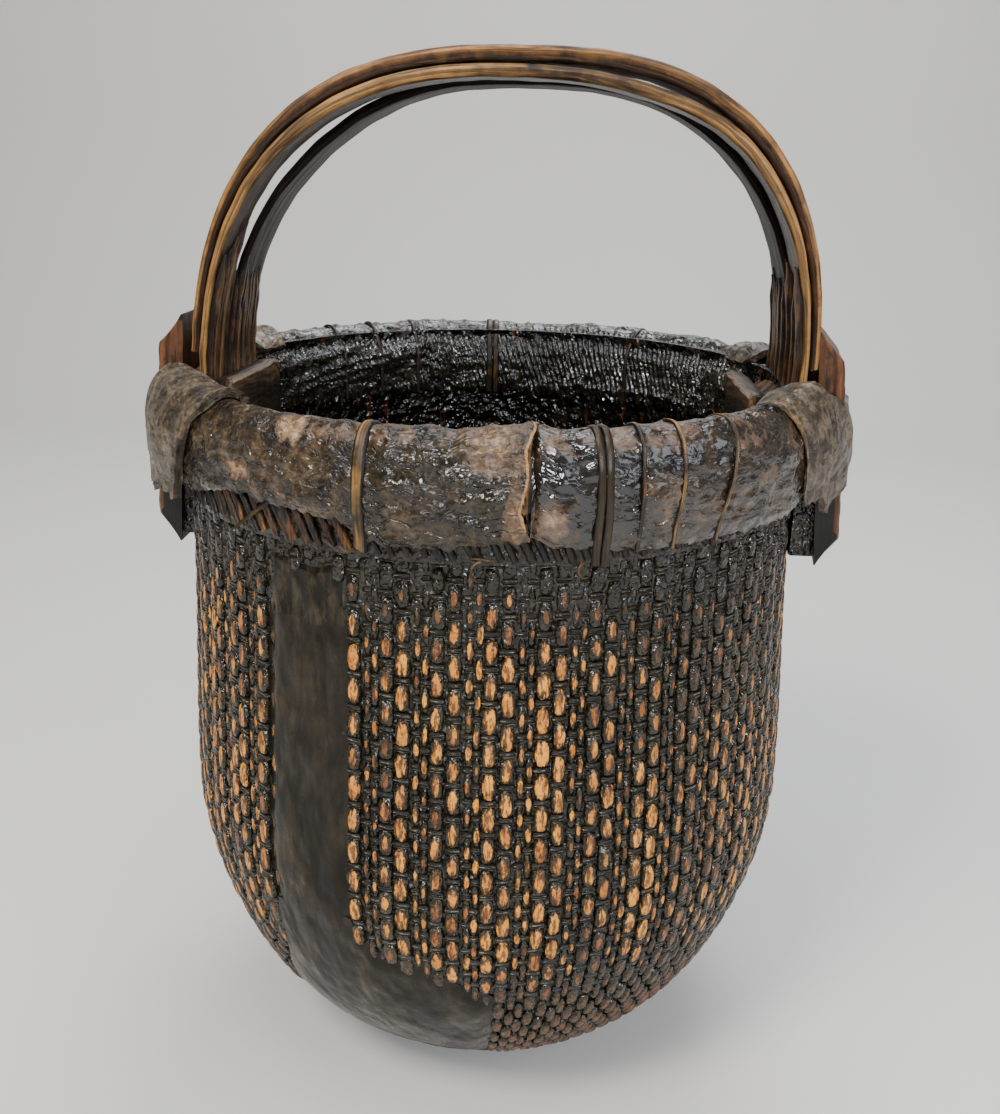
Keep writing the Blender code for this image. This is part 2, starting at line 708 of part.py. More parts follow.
def handle(bow_wood, rod_wood, lath_wood, splint_wood):
    """Build the three laths of the handle and the splints on its feet."""
    first = turn_at_height(BOW_FOOT_HEIGHT, BOW_THICKNESS)
    bent_lath("handle_outer_bow", first, lambda turn: 0.0, BOW_THICKNESS, BOW_FRONT, BOW_BACK, bow_wood)
    seat = turn_at_height(WALL_TOP_OUTER + GAP, BOW_THICKNESS + ROD_THICKNESS)
    bent_lath("handle_front_rod", seat, lambda turn: bow_depth(turn) + LATH_GAP, ROD_THICKNESS,
              ROD_FRONT, ROD_BACK, rod_wood)
    inner_lath(lath_wood)
    for label, side in SIDES.items():
        for index, (front, back) in enumerate(splint_widths()):
            leg_splint(f"leg_splint_{label}_{index + 1}", side, front, back,
                       RIM_TOP + SPLINT_RISES[label][index], splint_wood)


# Ears: outer cleats, wedges, inner cleats, pegs and ear hides


def cleat_inner_x(height):
    """Return how far out a cleat's inner face lies at a height, before its shift."""
    rise = (height - CLEAT_BOTTOM) / (CLEAT_TOP - CLEAT_BOTTOM)
    return CLEAT_REACH_BOTTOM + (CLEAT_REACH_TOP - CLEAT_REACH_BOTTOM) * rise


def cleat_point(label, out, y, height):
    """Return a point of a cleat, out from its inner face, with its shift and swing."""
    side = SIDES[label]
    swing = math.tan(math.radians(CLEAT_SWINGS[label])) * (y + CLEAT_WIDTH / 2)
    return Vector((CLEAT_SHIFT + side * (cleat_inner_x(height) + out + swing), y, height))


def outer_cleat(label, material):
    """Build one outer cleat: a board with its outer corners cut off."""
    outline = (
        (0.0, CLEAT_BOTTOM), (0.0, CLEAT_TOP), (CLEAT_THICKNESS, CLEAT_TOP - CLEAT_CHAMFER),
        (CLEAT_THICKNESS, CLEAT_BOTTOM + CLEAT_CHAMFER),
    )
    rings = []
    for y in (-CLEAT_WIDTH / 2, CLEAT_WIDTH / 2):
        rings.append([cleat_point(label, out, y, height) for out, height in outline])
    return add_piece(f"outer_cleat_{label}", loft(rings), material)


def cleat_wedge(label, material):
    """Build the slip that packs the cleat's foot off the wall."""
    side = SIDES[label]
    seat = side * (body_radius(CLEAT_BOTTOM) + GAP)
    rings = []
    for y in (-WEDGE_WIDTH / 2, WEDGE_WIDTH / 2):
        low = cleat_point(label, -GAP, y, CLEAT_BOTTOM)
        high = cleat_point(label, -GAP, y, WEDGE_TOP)
        rings.append([low, high, Vector((seat, y, WEDGE_TOP)), Vector((seat, y, CLEAT_BOTTOM))])
    return add_piece(f"cleat_wedge_{label}", loft(rings), material)


def board_outer_x(side):
    """Return how far out an inner cleat's outer face lies, clear of the lath's foot and the splints."""
    foot = pocket_outer() - LATH_THICKNESS * FOOT_THINNING_SHARE
    splint = min(side * splint_outer_x(height, side) for height in (POCKET_TOP, BOARD_TOP))
    return min(foot, splint - SPLINT_THICKNESS) - GAP


def inner_cleat(label, material):
    """Build one inner cleat: a chord board whose ends are cut to the round wall."""
    side = SIDES[label]
    outer = board_outer_x(side)
    inner = outer - BOARD_THICKNESS
    half = BOARD_LENGTH / 2
    cut = half - (outer - inner) / 2
    outline = ((outer, -cut), (outer, cut), (inner, half), (inner, -half))
    rings = []
    for bottom in (True, False):
        ring = []
        for x, y in outline:
            top = BOARD_TOP - BOARD_TOP_SLOPE * (y + half) / BOARD_LENGTH
            ring.append(Vector((side * x, y, BOARD_BOTTOM if bottom else top)))
        rings.append(ring)
    bm = loft(rings)
    bmesh.ops.bevel(bm, geom=bm.edges[:], offset=BOARD_EDGE, segments=1, affect="EDGES",
                     profile=BEVEL_PROFILE_SHARE)
    return add_piece(f"inner_cleat_{label}", bm, material)


def round_bar(name, start, end, radius, material):
    """Build a round bar between two points on a line along X."""
    bm = bmesh.new()
    bmesh.ops.create_cone(bm, cap_ends=True, segments=ROUND_SIDES, radius1=radius, radius2=radius,
                          depth=abs(end.x - start.x))
    turn = Vector((0.0, 0.0, 1.0)).rotation_difference(Vector((1.0, 0.0, 0.0))).to_matrix()
    bmesh.ops.rotate(bm, verts=bm.verts, matrix=turn)
    bmesh.ops.translate(bm, verts=bm.verts, vec=(start + end) / 2)
    return add_piece(name, bm, material)


def peg_places():
    """Return the Y of the front and the back peg, in the splint and in the lath."""
    front, back = splint_widths()[1]
    return {"front": (front + back) / 2, "back": (LATH_FRONT + LATH_BACK) / 2}


def peg(label, place, y, material, cutter_material):
    """Build a peg through one ear and return the cutter for its holes."""
    side = SIDES[label]
    end = cleat_point(label, CLEAT_THICKNESS - GAP, y - PEG_RADIUS, PEG_HEIGHT + PEG_RADIUS)
    start = Vector((end.x, y, PEG_HEIGHT))
    inner = board_outer_x(side) - BOARD_THICKNESS + GAP
    round_bar(f"peg_{label}_{place}", start, Vector((side * inner, y, PEG_HEIGHT)), PEG_RADIUS, material)
    far = Vector((start.x + side * (CLEAT_THICKNESS + CUT_OVERRUN), y, PEG_HEIGHT))
    near = Vector((side * (inner - CUT_OVERRUN), y, PEG_HEIGHT))
    cutter = round_bar(f"cutter_{label}_{place}", far, near, PEG_RADIUS + GAP, cutter_material)
    cutter.hide_render = True
    cutter.display_type = "WIRE"
    return cutter


def drill(piece, cutter):
    """Cut a peg's hole in a piece."""
    hole = piece.modifiers.new(cutter.name, "BOOLEAN")
    hole.operation = "DIFFERENCE"
    hole.solver = "EXACT"
    hole.object = cutter


def saddle_path(azimuth, lift, reach, bottom):
    """Return the path of an ear hide up the rim's first points at an azimuth, lifted off it."""
    outline = rim_outline(-lift)[:reach]
    outline[0] = (outline[0][0], bottom)
    path = []
    for place in np.linspace(0, reach - 1, EAR_PATH_POINTS):
        radius, height = (np.interp(place, range(reach), values) for values in zip(*outline))
        path.append(polar(azimuth, radius, height))
    return path


def cleat_path(label, y, out):
    """Return the path of an ear hide up the outside of a cleat."""
    path = []
    for index in range(EAR_PATH_POINTS):
        share = index / (EAR_PATH_POINTS - 1)
        height = EAR_BOTTOM + (EAR_TOP - EAR_BOTTOM) * share
        bulge = EAR_BULGE * math.sin(math.pi * share)
        path.append(cleat_point(label, CLEAT_THICKNESS + out + bulge, y, height))
    return path


def saddle_rings(label, way):
    """Return the rings of an ear hide over the rim on one side, from its end inwards."""
    lap = GAP + EAR_THICKNESS
    outer = EAR_FRONT_AZIMUTHS[label] if way < 0 else ()
    points = (EAR_INNER_POINTS[0],) * len(outer) + EAR_INNER_POINTS
    rings = []
    for off, reach in zip(outer + EAR_INNER_AZIMUTHS, points):
        azimuth = SIDES[label] * (QUARTER_TURN + way * off)
        bottom = EAR_BOTTOM + EAR_HEM_RISE * (off in outer)
        outside = saddle_path(azimuth, lap, reach, bottom)
        rings.append(outside + saddle_path(azimuth, GAP, reach, bottom)[::-1])
    return rings


def cleat_ring(label, way):
    """Return the ring of an ear hide on a cleat: its front edge, middle or back edge."""
    lap = GAP + EAR_THICKNESS
    edge = way * CLEAT_WIDTH / 2
    out = lap if way == 0 else lap - EAR_THICKNESS / 2
    outer = cleat_path(label, edge + way * EAR_THICKNESS, out)
    return outer + cleat_path(label, edge + way * GAP, GAP)[::-1]


def rings_between(first, last):
    """Return rings that lead from one ring to another in even steps."""
    shares = [step / EAR_TURN_STEPS for step in range(1, EAR_TURN_STEPS)]
    return [[a.lerp(b, share) for a, b in zip(first, last)] for share in shares]


def ear_hide(label, material):
    """Build the hide that wraps a cleat and laps over the rim on both sides."""
    front, back = saddle_rings(label, -1), saddle_rings(label, 1)[::-1]
    front_edge, middle, back_edge = (cleat_ring(label, way) for way in (-1, 0, 1))
    rings = [
        *front, *rings_between(front[-1], front_edge), front_edge, middle, back_edge,
        *rings_between(back_edge, back[0]), *back,
    ]
    return add_piece(f"ear_hide_{label}", loft(rings), material)


def build():
    """Build every piece of the basket."""
    clear_scene()
    weave = finish("lacquered_willow", (0.065, 0.045, 0.026), 0.45)
    lacquer = finish("black_lacquer_hide", (0.035, 0.030, 0.026), 0.35)
    wrap = finish("brown_rawhide", (0.070, 0.056, 0.043), 0.50)
    hoop_wood = finish("willow_rod", (0.085, 0.055, 0.030), 0.60)
    cane = finish("split_cane", (0.300, 0.150, 0.060), 0.50)
    bow_wood = finish("dark_elm", (0.120, 0.060, 0.028), 0.48)
    rod_wood = finish("golden_elm", (0.330, 0.180, 0.070), 0.45)
    lath_wood = finish("smoked_elm", (0.080, 0.060, 0.045), 0.60)
    cleat_wood = finish("stained_cleat", (0.220, 0.090, 0.035), 0.50)
    peg_wood = finish("peg_bamboo", (0.250, 0.160, 0.080), 0.55)

    body = woven_body(weave)
    side_band(lacquer)
    base_patch(lacquer)
    rim_pieces(hoop_wood, wrap)
    for name, (azimuth, slant) in CANE_AZIMUTHS.items():
        cane_binding(name, azimuth, slant, cane)
    handle(bow_wood, rod_wood, lath_wood, lath_wood)
    places = peg_places()
    for label in SIDES:
        outer = outer_cleat(label, cleat_wood)
        cleat_wedge(label, lacquer)
        board = inner_cleat(label, cleat_wood)
        splint = bpy.data.objects[f"leg_splint_{label}_2"]
        lath = bpy.data.objects["handle_inner_lath"]
        feet = {"front": splint, "back": lath}
        for place, y in places.items():
            cutter = peg(label, place, y, peg_wood, lacquer)
            for piece in (body, outer, board, feet[place]):
                drill(piece, cutter)
        ear_hide(label, wrap)


build()
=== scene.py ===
"""Looks of a lacquered willow rice basket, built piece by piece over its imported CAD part.

Lengths are metres, +Z is up, the front faces -Y and azimuths run from the front
towards the right-hand ear (+X), in degrees.
"""

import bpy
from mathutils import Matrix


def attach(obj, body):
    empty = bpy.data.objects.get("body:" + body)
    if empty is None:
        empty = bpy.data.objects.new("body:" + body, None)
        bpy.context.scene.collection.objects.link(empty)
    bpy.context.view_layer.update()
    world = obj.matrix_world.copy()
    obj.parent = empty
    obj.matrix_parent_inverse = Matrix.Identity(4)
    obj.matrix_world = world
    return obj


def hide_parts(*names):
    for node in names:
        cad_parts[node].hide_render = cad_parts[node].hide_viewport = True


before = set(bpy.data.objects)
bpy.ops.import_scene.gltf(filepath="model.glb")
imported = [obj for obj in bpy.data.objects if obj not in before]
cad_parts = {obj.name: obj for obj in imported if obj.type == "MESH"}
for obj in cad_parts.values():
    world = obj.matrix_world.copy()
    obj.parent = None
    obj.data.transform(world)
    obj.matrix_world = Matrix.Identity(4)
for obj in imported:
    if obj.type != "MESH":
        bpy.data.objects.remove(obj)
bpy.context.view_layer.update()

import logging
import math
from collections.abc import Callable, Iterable, Sequence
from dataclasses import dataclass, field
from enum import Enum, IntEnum
from functools import partial

import bmesh
import bpy
import numpy as np
from mathutils import Matrix, Vector, noise

LOG = logging.getLogger("rice_basket")

Material = bpy.types.Material
Shape = bmesh.types.BMesh
Place = tuple[float, float]
Triple = tuple[float, float, float]
Mark = Triple
Ring = list[Vector]
AddNode = Callable[..., bpy.types.NodeSocket]

GROUPS = 43  # groups of four stakes round the wall
COURSE = 0.0178  # metres from one course of cord to the next
TURN_STEPS = 240  # stations of a full turn round the basket's axis
DEGREE_RUN = 0.0034  # metres of rim or wall that one degree of azimuth spans
RADIAN = 57.3  # degrees


class Side(IntEnum):
    """The ear that a piece belongs to."""

    LEFT = -1
    RIGHT = 1

    @property
    def label(self) -> str:
        """Return the side's word in node names."""
        return self.name.lower()


class Stake(Enum):
    """The two sorts of willow stake in the wall, with width and rounding."""

    BROAD = (0.0080, 0.72)
    SLIM = (0.0046, 0.95)


def linear_rgba(code: str) -> tuple[float, float, float, float]:
    """Turn an sRGB hex colour into linear red, green, blue and alpha.

    Args:
        code: Six hex digits, with or without a leading hash.

    Returns:
        The linear colour with an alpha of one.
    """
    digits = code.lstrip("#")
    shares = [int(digits[place:place + 2], 16) / 255.0 for place in (0, 2, 4)]
    lit = [s / 12.92 if s <= 0.04045 else ((s + 0.055) / 1.055) ** 2.4 for s in shares]
    return lit[0], lit[1], lit[2], 1.0


def per_mm(size: float) -> float:
    """Return the texture scale that repeats about every given number of millimetres."""
    return 1000.0 / size


def ease(share: float) -> float:
    """Ease a share from 0 to 1 with flat ends."""
    held = min(1.0, max(0.0, share))
    return held * held * (3.0 - 2.0 * held)


def polar(azimuth: float, radius: float, height: float) -> Vector:
    """Return the point at an azimuth from the front, a radius and a height."""
    turn = math.radians(azimuth)
    return Vector((radius * math.sin(turn), -radius * math.cos(turn), height))


def ripple(point: Vector, size: float, seed: float = 0.0) -> float:
    """Return smooth noise from about -1 to 1 at a point.

    Args:
        point: Where to read it, in metres.
        size: The size of its lumps, in metres.
        seed: A shift that makes one pattern differ from the next.

    Returns:
        The noise value.
    """
    return noise.noise(point / size + Vector((seed, seed * 1.7, -seed)))


def drift(x: float, y: float, z: float) -> float:
    """Return smooth noise from about -1 to 1 at a place given by three plain numbers."""
    return noise.noise(Vector((x, y, z)))


def from_front(azimuth: float) -> float:
    """Return the same azimuth between -180 and 180 degrees."""
    return (azimuth + 180.0) % 360.0 - 180.0


def fill_socket(tree: bpy.types.NodeTree, socket: bpy.types.NodeSocket, value: object) -> None:
    """Fill a node's input with an output, a hex colour or a plain value.

    Args:
        tree: The material's node tree.
        socket: The input.
        value: What goes in; None leaves the input alone.
    """
    if isinstance(value, bpy.types.NodeSocket):
        tree.links.new(value, socket)
    elif isinstance(value, str):
        socket.default_value = linear_rgba(value)
    elif value is not None:
        socket.default_value = value


def add_node(
    tree: bpy.types.NodeTree, kind: str, *inputs: object, out: str | int | None = None, **settings: object,
) -> bpy.types.NodeSocket:
    """Add a shader node, set its options, fill its inputs in order and return one output.

    Args:
        tree: The material's node tree.
        kind: The node's type, without the ShaderNode prefix.
        *inputs: What fills the inputs in use, in order; None leaves one alone.
        out: The name or number of the output to return, or none for the first in use.
        **settings: Options set on the node before its inputs are filled.

    Returns:
        The chosen output.
    """
    node = tree.nodes.new(f"ShaderNode{kind}")
    for name, value in settings.items():
        setattr(node, name, value)
    for socket, value in zip([socket for socket in node.inputs if socket.enabled], inputs):
        fill_socket(tree, socket, value)
    if out is None:
        return next(socket for socket in node.outputs if socket.enabled)
    return node.outputs[out]


@dataclass(frozen=True)
class Finish:
    """A real material and how it is drawn: the base of every finish here."""

    name: str

    def make(self) -> Material:
        """Build the material and fill its shader's sockets from the drawing.

        Returns:
            The material.
        """
        made = bpy.data.materials.new(self.name)
        made.use_nodes = True
        shader = made.node_tree.nodes["Principled BSDF"]
        for name, value in self.draw(partial(add_node, made.node_tree)).items():
            fill_socket(made.node_tree, shader.inputs[name], value)
        return made

    def draw(self, add: AddNode) -> dict[str, object]:
        """Return the shader's sockets with their values or outputs.

        Args:
            add: Adds a node and returns its output.

        Returns:
            The shader's sockets.
        """
        raise NotImplementedError


@dataclass(frozen=True)
class LacqueredStake(Finish):
    """Willow stake under black lacquer, worn through to golden wood on each crown.

    The lacquer is glossy and lumpy, so that it glints; the bare wood is satin,
    with brown flecks along its grain and a ragged edge.
    """

    lacquer: str = "#130f06"
    lacquer_worn: str = "#433a24"
    wood: str = "#ea9c38"
    wood_deep: str = "#a55c18"
    stained: str = "#5d3d1f"
    fleck: str = "#331a08"
    fleck_mm: float = 2.0
    edge_mm: float = 2.1
    lump_mm: float = 3.4

    def draw(self, add: AddNode) -> dict[str, object]:
        """Draw the worn crown, its flecks and the lumpy lacquer round it.

        Args:
            add: Adds a node and returns its output.

        Returns:
            The shader's sockets.
        """
        spot = add("SeparateXYZ", add("Attribute", attribute_name="crown_place", out="Vector")).node.outputs
        tone = add("SeparateXYZ", add("Attribute", attribute_name="stake_tone", out="Vector")).node.outputs
        where = add("TexCoord", out="Object")
        across = add("Math", add("Math", spot[0], operation="ABSOLUTE"), 2.1, operation="POWER")
        along = add("Math", add("Math", spot[1], operation="ABSOLUTE"), 1.8, operation="POWER")
        reach = add("Math", add("Math", across, along), 0.5, operation="POWER")
        grain = add("Mapping", where, None, None, (1.0, 1.0, 0.25))
        ragged = add("TexNoise", grain, per_mm(self.edge_mm), 4.0, 0.62)
        rim = add("Math", ragged, 1.5, add("Math", reach, -0.75), operation="MULTIPLY_ADD")
        crown = add("MapRange", rim, 1.02, 0.86, interpolation_type="SMOOTHSTEP")
        raised = add("MapRange", spot[2], 0.05, 0.40, interpolation_type="SMOOTHSTEP")
        bare = add("Math", crown, raised, operation="MULTIPLY")
        soft = add("TexNoise", where, per_mm(7.0), 2.0)
        light = add("MapRange", add("Math", soft, tone[0]), 0.75, 1.30)
        gold = add("Mix", light, self.wood_deep, self.wood, data_type="RGBA")
        dull = add("MapRange", tone[0], 0.42, 0.14)
        stained = add("Mix", dull, gold, self.stained, data_type="RGBA")
        flecks = add("TexNoise", grain, per_mm(self.fleck_mm), 5.0, 0.68)
        speckled = add("MapRange", flecks, 0.465, 0.555, interpolation_type="SMOOTHSTEP")
        most = add("MapRange", rim, 0.2, 1.0, 0.78, 1.0)
        brown = add("Math", speckled, most, operation="MULTIPLY")
        wood = add("Mix", brown, stained, self.fleck, data_type="RGBA")
        dust = add("TexNoise", where, per_mm(2.6), 4.0, 0.7)
        settled = add("Math", dust, add("Math", tone[1], 0.22, operation="MULTIPLY"))
        dusty = add("MapRange", settled, 0.54, 0.86)
        coat = add("Mix", dusty, self.lacquer, self.lacquer_worn, data_type="RGBA")
        lumps = add("TexNoise", where, per_mm(self.lump_mm), 1.6, 0.5)
        height = add("Math", bare, -0.14, lumps, operation="MULTIPLY_ADD")
        return {
            "Base Color": add("Mix", bare, coat, wood, data_type="RGBA"),
            "Roughness": add("MapRange", bare, 0.0, 1.0, 0.19, 0.44),
            "Normal": add("Bump", 1.0, 0.0024, None, height),
        }


@dataclass(frozen=True)
class HempCord(Finish):
    """Twisted hemp cord soaked in lacquer: black, its ridge tops painted grey, partly rubbed wear and partly
    a painted highlight for the glints on them.
    """

    soaked: str = "#1a170d"
    # Grey of rubbed ridges, also used as a painted highlight for the glints on the cord.
    rubbed: str = "#8b8066"
    ridge: float = 7.6

    def draw(self, add: AddNode) -> dict[str, object]:
        """Draw the cord's ridges and the grey on some of them: rubbed wear together with a painted highlight.

        Args:
            add: Adds a node and returns its output.

        Returns:
            The shader's sockets.
        """
        spot = add("SeparateXYZ", add("Attribute", attribute_name="crown_place", out="Vector")).node.outputs
        where = add("TexCoord", out="Object")
        turns = add("Math", add("Math", spot[1], self.ridge, operation="MULTIPLY"), operation="SINE")
        grit = add("TexNoise", where, per_mm(3.0), 4.0, 0.7)
        worn = add("MapRange", grit, 0.51, 0.62, interpolation_type="SMOOTHSTEP")
        # Grey on the ridge tops: partly rubbed wear, partly a painted highlight standing in for glints.
        rubbed_and_glint_mask = add("Math", add("MapRange", turns, 0.40, 0.95), worn, operation="MULTIPLY")
        height = add("Math", turns, 0.5, grit, operation="MULTIPLY_ADD")
        return {
            "Base Color": add("Mix", rubbed_and_glint_mask, self.soaked, self.rubbed, data_type="RGBA"),
            "Roughness": 0.28,
            "Normal": add("Bump", 0.9, 0.0012, None, height),
        }


@dataclass(frozen=True)
class PitchLacquer(Finish):
    """Thick black lacquer pooled between the stakes: lumpy, wet-looking, dusty in places."""

    deep: str = "#141108"
    dust: str = "#453d27"
    ember: str = "#a4561c"
    ember_share: float = 0.0
    lump_mm: float = 3.2
    gloss: float = 0.22

    def draw(self, add: AddNode) -> dict[str, object]:
        """Draw the pooled lumps, the dust on them and a few specks of bare fibre.

        Args:
            add: Adds a node and returns its output.

        Returns:
            The shader's sockets.
        """
        where = add("TexCoord", out="Object")
        tall = add("Mapping", where, None, None, (1.0, 1.0, 0.5))
        lumps = add("TexNoise", tall, per_mm(self.lump_mm), 6.0, 0.6)
        swell = add("TexNoise", where, per_mm(self.lump_mm * 1.7), 1.8, 0.5)
        patches = add("TexNoise", where, per_mm(20.0), 3.0)
        dusty_here = add("MapRange", patches, 0.38, 0.6)
        dusty = add("Math", add("MapRange", lumps, 0.48, 0.70), dusty_here, operation="MULTIPLY")
        coat = add("Mix", dusty, self.deep, self.dust, data_type="RGBA")
        fibres = add("TexNoise", add("Mapping", where, None, None, (1.0, 1.0, 0.14)), per_mm(4.4), 2.0)
        glow = add("Math", add("MapRange", fibres, 0.62, 0.72), self.ember_share, operation="MULTIPLY")
        return {
            "Base Color": add("Mix", glow, coat, self.ember, data_type="RGBA"),
            "Roughness": add("MapRange", patches, 0.35, 0.65, self.gloss, self.gloss + 0.22),
            "Normal": add("Bump", 1.0, 0.0052, None, swell),
        }


@dataclass(frozen=True)
class LacqueredHide(Finish):
    """Rawhide stretched wet over the rim or the weave, lacquered and worn by hands.

    The marks attribute paints it: red is bare tan hide, green is the pale torn
    edge and blue is gloss, where the lacquer has lasted and glints on every pore.
    """

    tones: tuple[str, ...] = ("#130d06", "#221a0f", "#2f2416", "#3b2f1f", "#614e37")
    gloss_deep: str = "#17140c"
    gloss_worn: str = "#3d3423"
    tan: str = "#604a37"
    tan_pale: str = "#b39068"
    torn: str = "#9c7446"
    crack_tone: str = "#0b0904"
    mottle_mm: float = 15.0
    speck_mm: float = 3.2
    pore_mm: float = 1.2
    crack_mm: float = 11.0
    fold_mm: float = 6.5
    swell_mm: float = 8.0
    pulled: float = 0.85
    swollen: float = 1.0
    streak: float = 1.0
    cracked: float = 0.45
    gritty: float = 0.04
    level: float = 0.5
    roughness: float = 0.31
    bump: float = 1.0

    def draw(self, add: AddNode) -> dict[str, object]:
        """Draw the mottled lacquer, its cracks and pores, and the worn places.

        Args:
            add: Adds a node and returns its output.

        Returns:
            The shader's sockets.
        """
        paint = add("SeparateXYZ", add("Attribute", attribute_name="marks", out="Vector")).node.outputs
        along = add("Attribute", attribute_name="along", out="Vector")
        where = add("TexCoord", out="Object")
        drawn = add("Mapping", where, None, None, (1.0, 1.0, self.streak))
        mottle = add("TexNoise", drawn, per_mm(self.mottle_mm), 6.0, 0.6, None, 0.6)
        specks = add("TexNoise", drawn, per_mm(self.speck_mm), 5.0, 0.66)
        pores = add("TexNoise", where, per_mm(self.pore_mm), 5.0, 0.7)
        stretched = add("Mapping", along, None, None, (0.24, 1.0, 1.0))
        fold = add("TexNoise", stretched, per_mm(self.fold_mm), 1.8, 0.5, None, 0.6)
        swell = add("TexNoise", drawn, per_mm(self.swell_mm), 1.5, 0.5)
        grit = add("TexNoise", where, per_mm(2.2), 1.5, 0.5)
        wander = add("VectorMath", fold.node.outputs["Color"], 0.010, operation="SCALE")
        wandered = add("Mapping", add("VectorMath", along, wander), None, None, (0.6, 1.0, 1.0))
        cells = add("TexVoronoi", wandered, per_mm(self.crack_mm), feature="DISTANCE_TO_EDGE")
        fine_cells = add("TexVoronoi", wandered, per_mm(self.crack_mm * 0.3), feature="DISTANCE_TO_EDGE")
        open_here = add("MapRange", mottle, 0.50, 0.60, interpolation_type="SMOOTHSTEP")
        fine_here = add("MapRange", mottle, 0.50, 0.42, 0.0, 0.8)
        wide_crack = add("Math", add("MapRange", cells, 0.075, 0.01), open_here, operation="MULTIPLY")
        fine_crack = add("Math", add("MapRange", fine_cells, 0.16, 0.02), fine_here, operation="MULTIPLY")
        cracks = add("Math", wide_crack, fine_crack, operation="MAXIMUM")
        crack = add("Math", cracks, self.cracked, operation="MULTIPLY")
        specked = add("Math", specks, 0.42, operation="MULTIPLY")
        shade = add("Math", mottle, 0.58, specked, operation="MULTIPLY_ADD")
        ramp = add("ValToRGB", shade)
        places = (0.38, 0.46, 0.50, 0.545, 0.64)
        stops = ramp.node.color_ramp.elements
        while len(stops) < len(places):
            stops.new(1.0)
        for stop, place, tone in zip(stops, places, self.tones):
            stop.position = place
            stop.color = linear_rgba(tone)
        coarse = add("Math", mottle, 0.7, -0.80, operation="MULTIPLY_ADD")
        ragged = add("Math", specks, 0.9, coarse, operation="MULTIPLY_ADD")
        shine = add("MapRange", add("Math", paint[2], ragged), 0.25, 0.60, interpolation_type="SMOOTHSTEP")
        handled = add("MapRange", specks, 0.44, 0.66)
        wet = add("Mix", handled, self.gloss_deep, self.gloss_worn, data_type="RGBA")
        lacquered = add("Mix", shine, ramp, wet, data_type="RGBA")
        worn = add("Math", ragged, 1.7, paint[0], operation="MULTIPLY_ADD")
        bare = add("MapRange", worn, 0.30, 0.60, interpolation_type="SMOOTHSTEP")
        hide = add("Mix", add("MapRange", worn, 0.75, 1.30), self.tan, self.tan_pale, data_type="RGBA")
        freckled = add("Mix", add("MapRange", pores, 0.42, 0.60, 0.0, 0.55), hide, ramp, data_type="RGBA")
        rubbed = add("Mix", bare, lacquered, freckled, data_type="RGBA")
        edge = add("MapRange", add("Math", ragged, 0.8, paint[1], operation="MULTIPLY_ADD"), 0.35, 0.60)
        raw = add("Mix", edge, rubbed, self.torn, data_type="RGBA")
        grains = add("Math", grit, self.gritty, operation="MULTIPLY")
        relief = add("Math", swell, self.swollen, grains, operation="MULTIPLY_ADD")
        folded = add("Math", fold, self.pulled, relief, operation="MULTIPLY_ADD")
        height = add("Math", crack, -0.30, folded, operation="MULTIPLY_ADD")
        matt = add("Math", add("Math", bare, edge, operation="MAXIMUM"), 0.2, operation="MULTIPLY")
        gloss = add("Math", shine, 0.35, mottle, operation="MULTIPLY_ADD")
        coat = add("MapRange", gloss, 0.42, 0.72, self.roughness, 0.14)
        return {
            "Base Color": add("Mix", crack, raw, self.crack_tone, data_type="RGBA"),
            "Roughness": add("Math", coat, matt),
            "Specular IOR Level": self.level,
            "Normal": add("Bump", self.bump, 0.0034, None, height),
        }


